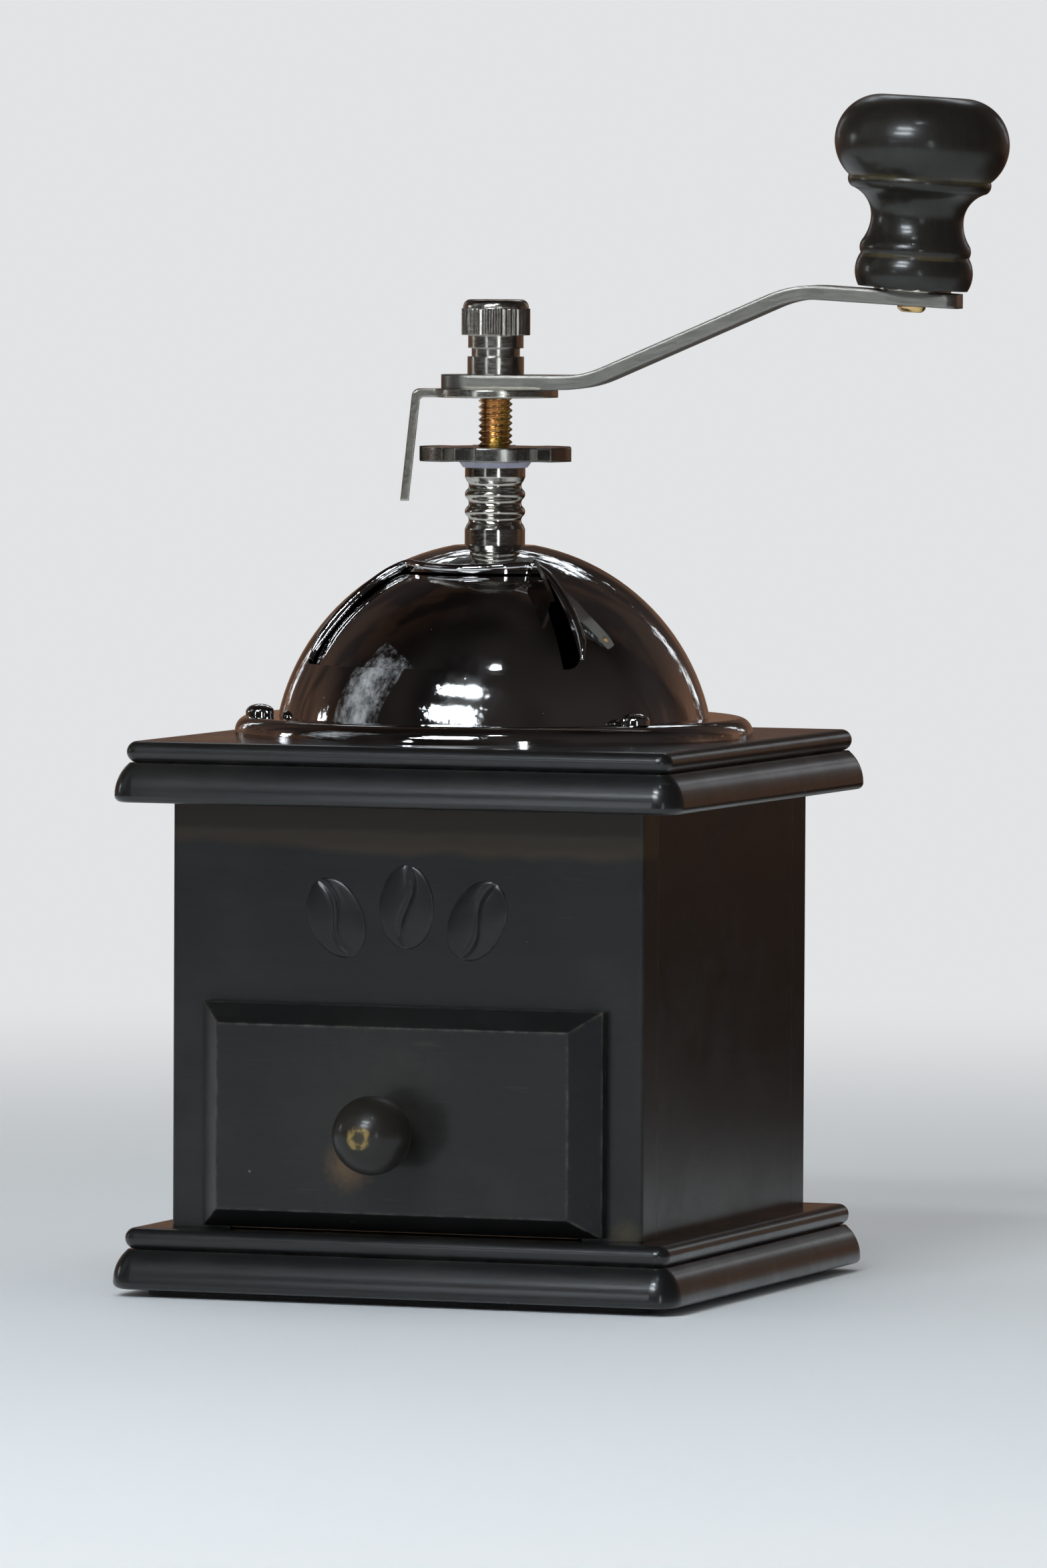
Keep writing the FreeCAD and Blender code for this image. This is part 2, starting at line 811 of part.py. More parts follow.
def raised_stations(stations):
    """The same corners on the arm's top, one thickness above along each run."""
    lifts = [0.0, arm_rise_angle, -arm_droop_angle]
    first, second, third, last = stations
    top = [(first[0], first[1] + arm_thickness)]
    for corner, before, after in ((second, lifts[0], lifts[1]), (third, lifts[1], lifts[2])):
        miter = (before + after) / 2
        reach = arm_thickness / cosine((after - before) / 2)
        top.append((corner[0] - reach * sine(miter), corner[1] + reach * cosine(miter)))
    end = (last[0] + arm_thickness * sine(arm_droop_angle), last[1] + arm_thickness * cosine(arm_droop_angle))
    top.append(end)
    return top


def make_crank_arm():
    under = arm_stations()
    top = raised_stations(under)
    bar = outline(under + top[::-1]).extrude(Vector(0, arm_width, 0)).translated(Vector(0, -arm_width / 2, 0))
    for bend in (1, 2):
        inner, outer = (top[bend], under[bend]) if bend == 1 else (under[bend], top[bend])
        bar = bar.makeFillet(arm_bend_round, edges_across(bar, *inner))
        bar = bar.makeFillet(arm_bend_round + arm_thickness, edges_across(bar, *outer))
    bar = bar.common(arm_plan(under[0][1], top[2][1]))
    bar = bar.cut(double_flat_bar(shaft_neck_radius + seat_play, shaft_flat + seat_play, arm_foot, arm_top))
    hole = rod(spindle_radius + seat_play, -2 * arm_thickness, arm_thickness)
    return around(bar.cut(at_knob(hole)), crank_angle)


def arm_plan(foot, top):
    """Upright block of the arm's plan: round at the hub, small corners at the knob."""
    half = arm_width / 2
    hub_centre = half - arm_hub_reach
    tip = crank_length + arm_end_margin
    straight = block((hub_centre, -half, foot), (tip, half, top))
    corners = [e for e in straight.Edges
               if abs(e.CenterOfMass.x - tip) < 0.01 and abs(e.tangentAt(e.FirstParameter).z) > 0.9]
    straight = straight.makeFillet(arm_end_round, corners)
    return fused([straight, rod(half, foot, top, hub_centre)])


def at_knob(shape):
    """Shape made about Z at the origin, set on the arm where the knob stands and square to it."""
    top_corner = raised_stations(arm_stations())[2]
    level = top_corner[1] - (crank_length - top_corner[0]) * tangent(arm_droop_angle)
    copy = shape.copy()
    copy.rotate(ORIGIN, Vector(0, 1, 0), arm_droop_angle)
    return copy.translated(Vector(crank_length, 0, level))


def make_cap_nut():
    groove_foot = arm_top + nut_foot_height
    collar_foot = groove_foot + nut_groove_height
    grip_foot = collar_foot + nut_collar_height
    grip_top = grip_foot + nut_grip_height
    crown = grip_top + nut_crown_height
    grip_root = nut_grip_radius - nut_grip_groove_depth
    stem = turned([
        (0.0, arm_top),
        (nut_foot_radius, arm_top),
        (nut_foot_radius, groove_foot),
        (nut_groove_radius, groove_foot),
        (nut_groove_radius, collar_foot),
        (nut_collar_radius, collar_foot),
        (nut_collar_radius, grip_foot),
        (grip_root, grip_foot),
        (grip_root, grip_top),
        (level_arc_middle((nut_crown_radius, crown), (grip_root, grip_top)), (nut_crown_radius, crown)),
        (0.0, crown),
    ])
    knurl = Part.Face(star(nut_grip_grooves, nut_grip_radius, grip_root, grip_foot, 0.0))
    nut = fused([stem, knurl.extrude(UP * nut_grip_height)])
    return nut.cut(rod(shaft_neck_radius, arm_top, arm_top + nut_thread_depth))


def upright_arc_middle(upright, end):
    """Middle of the arc that leaves a point of the XZ plane straight up or down and goes to another."""
    across = abs(end[0] - upright[0])
    along = end[1] - upright[1]
    radius = (across ** 2 + along ** 2) / (2 * across)
    half_turn = math.atan2(along, radius - across) / 2
    side = math.copysign(1.0, end[0] - upright[0])
    return (upright[0] + side * radius * (1 - math.cos(half_turn)), upright[1] + radius * math.sin(half_turn))


def level_arc_middle(level, end):
    """The same for an arc that leaves its first point sideways."""
    a, b = upright_arc_middle(level[::-1], end[::-1])
    return (b, a)


def make_crank_knob():
    """Turned knob: foot bulge, groove, ring, waist, flared neck, collar and round head."""
    foot = (knob_foot_radius, 0.0)
    bulge = (knob_bulge_radius, knob_bulge_height)
    groove = (knob_groove_radius, knob_groove_height)
    bead = (knob_bead_radius, knob_bead_height)
    ring = (knob_ring_radius, knob_ring_height)
    waist = (knob_waist_radius, knob_waist_height)
    neck = (knob_neck_radius, knob_neck_height)
    collar = (knob_collar_radius, knob_collar_height)
    seam = (knob_seam_radius, knob_seam_height)
    head = (knob_head_radius, knob_head_height)
    crown = (knob_crown_radius, knob_height)
    body = turned([
        (0.0, 0.0),
        foot,
        (bulge, groove),
        (bead, ring),
        (upright_arc_middle(waist, ring), waist),
        (upright_arc_middle(waist, neck), neck),
        (collar, seam),
        (upright_arc_middle(head, seam), head),
        (upright_arc_middle(head, crown), crown),
        (0.0, knob_height),
    ])
    head_foot = spindle_height - spindle_head_play
    body = body.cut(rod(spindle_radius + running_play, 0.0, knob_height))
    body = body.cut(rod(knob_bore_radius, head_foot, knob_height))
    return standing_knob(body)


def standing_knob(shape):
    """Piece of the knob, raised onto its washer and turned to the crank's place."""
    return around(at_knob(shape.translated(Vector(0, 0, knob_washer_thickness))), crank_angle)


def make_knob_plug():
    return standing_knob(rod(knob_bore_radius - seat_play, knob_height - knob_plug_length, knob_height))


def make_knob_washer():
    ring = rod(knob_washer_radius, -knob_washer_thickness, 0).cut(
        rod(spindle_radius + seat_play, -knob_washer_thickness, 0))
    return standing_knob(ring)


def make_knob_spindle():
    """Pin riveted under the arm, with a head that holds the knob."""
    arm_under = -arm_thickness - knob_washer_thickness
    rivet_foot = arm_under - spindle_rivet_height
    return standing_knob(turned([
        (0.0, rivet_foot),
        (spindle_rivet_radius * 0.6, rivet_foot),
        ((spindle_rivet_radius * 0.92, arm_under - spindle_rivet_height * 0.6), (spindle_rivet_radius, arm_under)),
        (spindle_radius, arm_under),
        (spindle_radius, spindle_height),
        (spindle_head_radius, spindle_height),
        (spindle_head_radius, spindle_height + spindle_head_height),
        (0.0, spindle_height + spindle_head_height),
    ]))


# Burr set

def make_burr_housing():
    """Cast funnel that hangs in the lid and holds the burr ring."""
    funnel_foot = lid_top - funnel_depth
    flange_foot = lid_top - flange_thickness
    barrel = ring_radius + housing_wall
    shoulder = ledge_level - housing_wall
    housing = turned([
        (ring_radius + seat_play, ring_foot - ring_foot_lift),
        (barrel, ring_foot - ring_foot_lift),
        (barrel, shoulder - housing_wall),
        (funnel_throat_radius + housing_wall, shoulder),
        (funnel_mouth_radius, flange_foot),
        (flange_radius, flange_foot),
        (flange_radius, lid_top),
        (funnel_mouth_radius, lid_top),
        (funnel_throat_radius, funnel_foot),
        (funnel_throat_radius, ledge_level),
        (throat_radius, ledge_level),
        (throat_radius, ring_top),
        (ring_radius + seat_play, ring_top),
    ])
    for x, y in flange_screw_places():
        housing = housing.cut(rod(flange_screw_radius + seat_play, flange_foot, lid_top, x, y))
    for side in (-1, 1):
        housing = housing.cut(rod(bridge_screw_radius + seat_play, ledge_level + bridge_thickness - bridge_screw_length,
                                  ledge_level, side * bridge_screw_reach, 0))
    return housing


def make_housing_screws():
    shape = screw(flange_screw_head_radius, flange_screw_head_height, flange_screw_radius, flange_screw_length)
    return Part.makeCompound([shape.translated(Vector(x, y, lid_top)) for x, y in flange_screw_places()])


def make_bridge():
    """Strap across the funnel that carries the lower shaft bearing."""
    top = ledge_level + bridge_thickness
    strap = block((-bridge_half_length, -bridge_width / 2, ledge_level), (bridge_half_length, bridge_width / 2, top))
    strap = strap.common(rod(bridge_half_length, ledge_level, top))
    hub = rod(bridge_hub_radius, ledge_level, ledge_level + bridge_hub_height)
    bridge = fused([strap, hub])
    bridge = bridge.cut(rod(shaft_radius + running_play, ledge_level, ledge_level + bridge_hub_height))
    for side in (-1, 1):
        bridge = bridge.cut(rod(bridge_screw_radius + seat_play, ledge_level, top, side * bridge_screw_reach, 0))
    return bridge


def make_bridge_screws():
    shape = screw(bridge_screw_head_radius, bridge_screw_head_height, bridge_screw_radius, bridge_screw_length)
    seat = ledge_level + bridge_thickness
    return Part.makeCompound([shape.translated(Vector(s * bridge_screw_reach, 0, seat)) for s in (-1, 1)])


def make_burr_spring():
    """Open coil between the bridge and the inner burr, wire of eight sides swept along quarter-turn arcs."""
    foot = burr_top + spring_seat_gap + spring_wire / 2
    top = ledge_level - spring_seat_gap - spring_wire / 2
    pitch = (top - foot) / spring_turns

    def coil_point(turn):
        return Vector(spring_mean_radius * cosine(360 * turn), spring_mean_radius * sine(360 * turn),
                      foot + pitch * turn)

    arcs = []
    for i in range(4 * spring_turns):
        places = [coil_point((i + share) / 4) for share in (0.0, 0.5, 1.0)]
        arcs.append(Part.Arc(*places).toShape())
    path = Part.Wire(arcs)
    start = arcs[0].tangentAt(arcs[0].FirstParameter)
    radial = (Vector(1, 0, 0) - start * start.x).normalize()
    across = start.cross(radial)
    corner = spring_wire / 2
    wire_corners = [coil_point(0) + radial * (corner * cosine(360 * i / spring_wire_sides))
                    + across * (corner * sine(360 * i / spring_wire_sides)) for i in range(spring_wire_sides)]
    section = Part.makePolygon(wire_corners + wire_corners[:1])
    print("spring: least gap between turns", round(pitch - spring_wire, 2), "mm")
    return path.makePipeShell([section], True, False)


def burr_radius_at(level):
    share = (level - burr_foot) / burr_height
    return burr_foot_radius + (burr_top_radius - burr_foot_radius) * share


def make_inner_burr():
    """Cone with fine teeth at its foot and twisted feeding vanes above."""
    fine_top = burr_foot + burr_fine_height
    middle = (fine_top + burr_top) / 2
    fine = [star(burr_fine_teeth, burr_radius_at(z), burr_radius_at(z) - burr_fine_depth, z, 0.0)
            for z in (burr_foot, fine_top)]
    coarse = [star(burr_coarse_vanes, burr_radius_at(z), burr_radius_at(z) - burr_coarse_depth, z, t)
              for z, t in ((fine_top, 0.0), (middle, burr_twist / 2), (burr_top, burr_twist))]
    burr = fused([Part.makeLoft(fine, True, True), Part.makeLoft(coarse, True, True)])
    return burr.cut(rod(shaft_radius + seat_play, burr_foot, burr_top))


def make_outer_burr():
    """Ring whose toothed foot closes on the fine teeth of the inner burr."""
    waist_level = ring_foot + ring_fine_height
    foot_radius = burr_radius_at(ring_foot) + burr_gap
    waist_radius = burr_radius_at(waist_level) + burr_gap
    ring = turned([
        (foot_radius, ring_foot),
        (ring_radius, ring_foot),
        (ring_radius, ring_top),
        (ring_mouth_radius, ring_top),
        (waist_radius, waist_level),
    ])
    teeth = [star(ring_teeth, radius + ring_tooth_depth, radius - burr_gap / 2, level, 0.0)
             for radius, level in ((foot_radius, ring_foot), (waist_radius, waist_level))]
    return ring.cut(Part.makeLoft(teeth, True, True))


def make_burr_washer():
    return rod(burr_washer_radius, burr_washer_foot, burr_foot).cut(
        rod(shaft_radius + seat_play, burr_washer_foot, burr_foot))


def make_burr_nut():
    return hex_bar(burr_nut_width, burr_nut_foot, burr_washer_foot).cut(
        rod(shaft_radius + seat_play, burr_nut_foot, burr_washer_foot))


PIECES = {
    "base_felt": make_base_felt(),
    "base_plate": make_base_plate(),
    "base_screws": make_base_screws(),
    "front_panel": make_front_panel(),
    "back_panel": make_back_panel(),
    "left_panel": make_side_panel(-1),
    "right_panel": make_side_panel(1),
    "left_drawer_guide": make_drawer_guide(-1),
    "right_drawer_guide": make_drawer_guide(1),
    "top_plate": make_top_plate(),
    "drawer_front": make_drawer_front(),
    "drawer_left_side": make_drawer_side(-1),
    "drawer_right_side": make_drawer_side(1),
    "drawer_back": make_drawer_back(),
    "drawer_bottom": make_drawer_bottom(),
    "drawer_pull": make_drawer_pull(),
    "drawer_pull_screw": make_drawer_pull_screw(),
    "dome_shell": make_dome_shell(),
    "dome_screws": make_dome_screws(),
    "hopper_door": make_hopper_door(),
    "bearing_sleeve": make_bearing_sleeve(),
    "sleeve_washer": make_sleeve_washer(),
    "sleeve_lock_nut": make_sleeve_lock_nut(),
    "shaft": make_shaft(),
    "thrust_washer": make_thrust_washer(),
    "adjusting_wheel": make_adjusting_wheel(),
    "lock_plate": make_lock_plate(),
    "crank_arm": make_crank_arm(),
    "cap_nut": make_cap_nut(),
    "crank_knob": make_crank_knob(),
    "knob_plug": make_knob_plug(),
    "knob_washer": make_knob_washer(),
    "knob_spindle": make_knob_spindle(),
    "burr_housing": make_burr_housing(),
    "housing_screws": make_housing_screws(),
    "bridge": make_bridge(),
    "bridge_screws": make_bridge_screws(),
    "burr_spring": make_burr_spring(),
    "inner_burr": make_inner_burr(),
    "outer_burr": make_outer_burr(),
    "burr_washer": make_burr_washer(),
    "burr_nut": make_burr_nut(),
}

os.makedirs("parts", exist_ok=True)
for name, shape in PIECES.items():
    if not shape.isValid():
        raise ValueError("not a valid solid: " + name)
    shape.exportStep(os.path.join("parts", name + ".step"))
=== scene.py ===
"""Looks of a hand-cranked box coffee mill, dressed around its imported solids, in metres."""

import json
import math

import bmesh
import bpy
from bpy.props import FloatProperty, FloatVectorProperty, IntProperty, PointerProperty
from mathutils import Matrix, Vector


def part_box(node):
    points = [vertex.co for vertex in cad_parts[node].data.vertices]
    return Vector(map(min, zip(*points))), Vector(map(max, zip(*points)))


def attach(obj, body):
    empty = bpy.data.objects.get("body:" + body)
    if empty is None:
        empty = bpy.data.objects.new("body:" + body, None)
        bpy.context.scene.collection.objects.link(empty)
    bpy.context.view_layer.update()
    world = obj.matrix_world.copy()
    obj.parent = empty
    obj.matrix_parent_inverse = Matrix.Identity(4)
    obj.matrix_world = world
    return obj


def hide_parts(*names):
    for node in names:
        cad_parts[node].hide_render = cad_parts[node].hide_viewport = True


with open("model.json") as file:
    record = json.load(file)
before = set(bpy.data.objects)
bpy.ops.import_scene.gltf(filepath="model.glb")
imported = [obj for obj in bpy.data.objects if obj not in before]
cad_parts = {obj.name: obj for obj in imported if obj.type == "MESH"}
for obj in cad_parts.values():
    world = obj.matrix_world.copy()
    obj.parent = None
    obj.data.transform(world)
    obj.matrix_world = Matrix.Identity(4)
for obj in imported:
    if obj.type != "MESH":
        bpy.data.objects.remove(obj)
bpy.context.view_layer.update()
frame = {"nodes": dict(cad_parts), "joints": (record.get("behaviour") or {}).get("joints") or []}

bl_info = {
    "name": "Box coffee mill",
    "version": (1, 0, 0),
    "blender": (4, 5, 0),
    "location": "View3D > Sidebar > Mill",
    "description": "Finishes, small details and a studio for a hand-cranked box coffee mill",
    "category": "Object",
}

MILLIMETRE = 0.001

# Scale of the grain's streaks along X, Y and Z
GRAIN_ACROSS = (0.06, 1.0, 1.0)
GRAIN_ALONG = (1.0, 0.06, 1.0)
GRAIN_UPRIGHT = (1.0, 1.0, 0.06)


def size(name, description, millimetres):
    return FloatProperty(name=name, description=description, default=millimetres * MILLIMETRE,
                         min=0.0, subtype="DISTANCE", unit="LENGTH", precision=5)


def angle(name, description, degrees):
    return FloatProperty(name=name, description=description, default=math.radians(degrees),
                         subtype="ANGLE", unit="ROTATION")


def colour(name, description, red, green, blue):
    return FloatVectorProperty(name=name, description=description, default=(red, green, blue), size=3,
                               min=0.0, max=1.0, subtype="COLOR")


def amount(name, description, share):
    return FloatProperty(name=name, description=description, default=share,
                         min=0.0, max=1.0, subtype="FACTOR")


def plain(name, description, value):
    return FloatProperty(name=name, description=description, default=value, min=0.0)


class MillFinishes(bpy.types.PropertyGroup):
    """Colours and gloss of the mill's materials."""

    black_stain: colour("Black stain", "Stained wood of case and drawer front", 0.0068, 0.0067, 0.0068)
    brown_stain: colour("Brown stain", "Stained wood of both knobs", 0.0125, 0.0107, 0.0086)
    dust: colour("Dust", "Specks of dust and pale nicks", 0.30, 0.29, 0.27)
    thin_stain: colour("Thin stain", "Stain rubbed thin along edges", 0.036, 0.031, 0.024)
    # Rubbed pale edges, partly a painted highlight along them
    rubbed_stain_and_edge_sheen: colour("Rubbed stain and edge sheen", "Stain rubbed pale on the sharpest edges, with painted edge sheen", 0.085, 0.078, 0.066)
    bare_wood: colour("Bare wood", "Wood where the stain is worn through", 0.21, 0.145, 0.045)
    # Painted shade: the lid's shadow on the front panel, tinted brown
    lid_shadow_tint: colour("Lid shadow tint", "Painted shade below the lid, tinted brown", 0.064, 0.042, 0.019)
    rubbed_wood: colour("Rubbed wood", "Wood that fingers rub beside the pull", 0.17, 0.095, 0.036)
    olive_line: colour("Olive line", "Stain left pale in turned grooves", 0.052, 0.041, 0.019)
    raw_beech: colour("Raw beech", "Unfinished boards of the drawer", 0.50, 0.33, 0.18)
    beech_pores: colour("Beech pores", "Darker streaks of the drawer boards", 0.33, 0.19, 0.09)
    chrome: colour("Chrome", "Plating of dome, door and dome screws", 0.62, 0.61, 0.61)
    nickel: colour("Nickel", "Plating of sleeve, nut and lock plate", 0.56, 0.53, 0.47)
    dull_nickel: colour("Dull nickel", "Plating of crank arm and wheel", 0.30, 0.285, 0.26)
    zinc: colour("Yellow zinc", "Plating of shaft and knob spindle", 0.88, 0.66, 0.24)
    steel: colour("Steel", "Inner fastenings, bridge and spring", 0.50, 0.50, 0.50)
    cast: colour("Cast iron", "Burrs and their housing", 0.17, 0.165, 0.16)
    nylon: colour("Nylon", "Thrust washer under the wheel", 0.50, 0.49, 0.60)
    felt: colour("Felt", "Sheet under the base", 0.018, 0.017, 0.017)
    wood_roughness: amount("Wood roughness", "Roughness of the stained wood", 0.35)
    lacquer: amount("Lacquer", "Share of thin lacquer over the stained wood", 0.30)
    lacquer_roughness: amount("Lacquer roughness", "Roughness of that lacquer", 0.17)
    nickel_roughness: amount("Nickel roughness", "Roughness of the satin nickel", 0.215)
    # Also sets the painted highlight along the edges
    edge_wear_and_sheen: amount("Edge wear and sheen", "How much stain is rubbed off edges, and painted edge sheen", 0.55)


class MillSizes(bpy.types.PropertyGroup):
    """Sizes of the details added to the solids."""

    thread_pitch: size("Thread pitch", "Pitch of the adjusting thread", 1.15)
    thread_depth: size("Thread depth", "Depth of the adjusting thread", 0.55)
    thread_start: size("Thread start", "Height where the thread begins, inside the sleeve", 146.0)
    neck_radius: size("Neck radius", "Radius of the shaft inside the crank", 2.6)
    neck_flat: size("Neck flat", "Distance of the neck's two flats from the axis", 2.0)
    lock_plate_thickness: size("Lock plate thickness", "Sheet of the plate under the crank", 1.5)
    crank_angle: angle("Crank angle", "Direction of the crank at rest, from +X", 10.0)
    dome_radius: size("Dome radius", "Outer radius of the hopper dome", 40.2)
    dome_centre: size("Dome centre", "Height of the dome's centre", 95.3)
    window_turn: angle("Window turn", "Direction of the window's middle, from the front", -3.5)
    window_half: angle("Window half width", "Half the window's width round the axis", 50.0)
    window_top: angle("Window top", "Angle of the upper edge from the dome's pole", 27.0)
    window_foot: angle("Window foot", "Angle of the lower edge from the dome's pole", 63.0)
    bead_clearance: angle("Bead clearance", "Room on the right for the door's lip", 2.8)
    bead_lift: angle("Bead lift", "How far the bead lies above the window's upper edge", 0.9)
    bead_corner: angle("Bead corner", "Turn over which the bead rounds the window's corners", 9.0)
    bead_radius: size("Bead radius", "Half the thickness of the window's rolled edge", 0.85)
    screw_circle: size("Screw circle", "Radius on which the dome's screws stand", 42.8)
    screw_start: angle("Screw start", "Direction of the first dome screw, from +X", -33.5)
    screw_seat: size("Screw seat", "Height of the pan under the screw heads", 103.7)
    screw_head: size("Screw head", "Radius of a dome screw's head", 2.6)
    screw_shank: size("Screw shank", "Radius of a dome screw's shank", 1.3)
    bean_length: size("Bean length", "Half the length of a pressed coffee bean", 7.6)
    bean_width: size("Bean width", "Half the width of a pressed coffee bean", 5.2)
    bean_relief: size("Bean relief", "Height of a pressed bean over the panel", 0.6)
    bean_level: size("Bean level", "Height of the middle of the beans", 69.0)
    bean_spacing: size("Bean spacing", "Distance between the beans", 13.5)
    bean_lean: angle("Bean lean", "Lean of the two outer beans", 26.0)
    recess_width: size("Recess width", "Width of each bar of a screw's cross recess", 0.6)
    recess_length: size("Recess length", "Length of each bar of a screw's cross recess", 2.3)
    recess_depth: size("Recess depth", "Depth of a screw's cross recess", 0.7)


class MillStage(bpy.types.PropertyGroup):
    """Floor, lamps and camera."""

    floor: colour("Floor", "Pale floor", 0.71, 0.74, 0.76)
    backdrop: colour("Backdrop", "What the camera sees behind the floor", 0.76, 0.77, 0.78)
    room_dark: colour("Dark card", "Card in front of the mill, seen in the plating", 0.020, 0.017, 0.0165)
    room_warm: colour("Warm card", "Card behind the mill, seen in the plating", 0.125, 0.064, 0.036)
    daylight: colour("Daylight", "Colour of the windows", 0.86, 0.94, 1.0)
    sky_strength: plain("Fill light", "Even light from all sides", 0.42)
    overhead_power: plain("Overhead power", "Watts of the even lamp overhead", 7.0)
    overhead_width: size("Overhead width", "Width of that lamp", 2400.0)
    overhead_height: size("Overhead height", "Height of that lamp over the floor", 2000.0)
    floor_radius: size("Floor radius", "Reach of the pale disc", 30000.0)
    fade_start: size("Fade start", "Where the floor starts to fade into the backdrop", 200.0)
    fade_end: size("Fade end", "Where the floor is lost in the backdrop", 800.0)
    card_radius: size("Card radius", "Distance of the cards from the mill", 1600.0)
    camera_distance: size("Camera distance", "From the camera to its target", 2372.7)
    camera_lens: plain("Lens", "Focal length in millimetres", 298.9)
    camera_turn: angle("Camera turn", "Direction of the camera from the front, towards +X", 19.971)
    camera_rise: angle("Camera rise", "Height of the camera over the horizon", 2.878)
    camera_roll: angle("Camera roll", "Turn of the camera about its own view", 0.29)
    camera_side: size("Target side", "Target's step to the right", 5.438)
    camera_drop: size("Target drop", "Target's step down", 8.714)
    camera_target: size("Target height", "Height of the target on the shaft's axis", 100.0)


# Small helpers for shader nodes

def is_socket(value):
    return isinstance(value, bpy.types.NodeSocket)


def feed(node, name, value):
    """Links a socket to a node's input, or sets the input to a plain value."""
    if is_socket(value):
        node.id_data.links.new(value, node.inputs[name])
    else:
        node.inputs[name].default_value = value


def make(tree, kind, inputs=None, **settings):
    """Adds a shader node, sets its options and feeds its inputs."""
    made = tree.nodes.new(kind)
    for name, value in settings.items():
        setattr(made, name, value)
    for name, value in (inputs or {}).items():
        feed(made, name, value)
    return made


def tree_of(*values):
    """The node tree of the first socket among some values."""
    return next(value.id_data for value in values if is_socket(value))


def math_node(operation, first, second=0.0, clamp=False):
    tree = tree_of(first, second)
    made = make(tree, "ShaderNodeMath", {0: first, 1: second}, operation=operation, use_clamp=clamp)
    return made.outputs[0]


def times(first, second):
    return math_node("MULTIPLY", first, second)


def plus(first, second):
    return math_node("ADD", first, second)


def vector_node(operation, first, second=(0.0, 0.0, 0.0)):
    """Gives a vector, or a number for an operation that measures."""
    made = make(tree_of(first), "ShaderNodeVectorMath", {0: first, 1: second}, operation=operation)
    measures = operation in ("DOT_PRODUCT", "DISTANCE", "LENGTH")
    return made.outputs["Value" if measures else "Vector"]


def scaled(hue, share):
    made = make(tree_of(share), "ShaderNodeVectorMath", {0: hue, 3: share}, operation="SCALE")
    return made.outputs[0]


def axes(vector):
    return make(tree_of(vector), "ShaderNodeSeparateXYZ", {0: vector}).outputs


def mix_shaders(share, first, second):
    return make(tree_of(share), "ShaderNodeMixShader", {0: share, 1: first, 2: second}).outputs[0]


def glow(tree, hue, strength=1.0):
    return make(tree, "ShaderNodeEmission", {"Color": opaque(hue), "Strength": strength}).outputs[0]


def mix_colours(share, first, second):
    tints = {0: share, 6: opaque(first), 7: opaque(second)}
    return make(tree_of(share), "ShaderNodeMix", tints, data_type="RGBA").outputs[2]


def opaque(value):
    """A plain colour with its alpha; a socket stays as it is."""
    return value if is_socket(value) else (*value, 1.0)


def shade(base, factor):
    """A plain colour made darker or brighter."""
    return tuple(min(1.0, factor * part) for part in base)


def remap(value, low, high, to_low=0.0, to_high=1.0):
    ends = {0: value, 1: low, 2: high, 3: to_low, 4: to_high}
    return make(tree_of(value), "ShaderNodeMapRange", ends, interpolation_type="SMOOTHSTEP").outputs[0]


def noise(vector, scale, detail=4.0, roughness=0.55):
    inputs = {"Vector": vector, "Scale": scale, "Detail": detail, "Roughness": roughness}
    return make(tree_of(vector), "ShaderNodeTexNoise", inputs).outputs["Fac"]


def new_group(name, inputs, outputs=("Mask",)):
    """An empty shader group, what it is given (a place and named inputs) and the node that ends it."""
    tree = bpy.data.node_groups.new(name, "ShaderNodeTree")
    tree.interface.new_socket(name="Vector", in_out="INPUT", socket_type="NodeSocketVector")
    for socket_name, default in inputs.items():
        kind = "NodeSocketVector" if isinstance(default, tuple) else "NodeSocketFloat"
        socket = tree.interface.new_socket(name=socket_name, in_out="INPUT", socket_type=kind)
        socket.default_value = default
    for socket_name in outputs:
        tree.interface.new_socket(name=socket_name, in_out="OUTPUT", socket_type="NodeSocketFloat")
    start = tree.nodes.new("NodeGroupInput")
    end = tree.nodes.new("NodeGroupOutput")
    return tree, start.outputs, end


def grain_group():
    """Long fine streaks along one axis: their tone and their height."""
    tree, given, end = new_group("Wood streaks", {"Stretch": (1.0, 1.0, 1.0)}, ("Tone", "Height"))
    stretched = vector_node("MULTIPLY", given["Vector"], given["Stretch"])
    fine = noise(stretched, 2600.0, 5.0)
    broad = noise(stretched, 260.0, 3.0)
    feed(end, "Tone", plus(times(fine, 0.6), times(broad, 0.4)))
    feed(end, "Height", fine)
    return tree


def edge_group():
    """Mask of the edges that hands rub, also where a painted highlight runs along them, broken up by noise.
    """
    tree, given, end = new_group("Rubbed and glinting edges", {"Radius": 0.0008, "Share": 0.5})
    rounded = make(tree, "ShaderNodeBevel", {"Radius": given["Radius"]}, samples=4).outputs[0]
    flat = make(tree, "ShaderNodeNewGeometry").outputs["Normal"]
    edge = remap(vector_node("DOT_PRODUCT", rounded, flat), 0.997, 0.92)
    patchy = remap(noise(given["Vector"], 320.0, 6.0, 0.7), 0.36, 0.68)
    feed(end, "Mask", times(times(edge, patchy), given["Share"]))
    return tree


def speck_group():
    """Sparse small specks such as dust, pits and nicks."""
    tree, given, end = new_group("Specks", {"Scale": 900.0, "Amount": 0.3})
    cells = make(tree, "ShaderNodeTexVoronoi", {"Vector": given["Vector"], "Scale": given["Scale"]})
    near = remap(cells.outputs["Distance"], 0.16, 0.05)
    chosen = make(tree, "ShaderNodeSeparateColor", {0: cells.outputs["Color"]}).outputs[0]
    kept = math_node("LESS_THAN", chosen, given["Amount"])
    feed(end, "Mask", times(near, kept))
    return tree


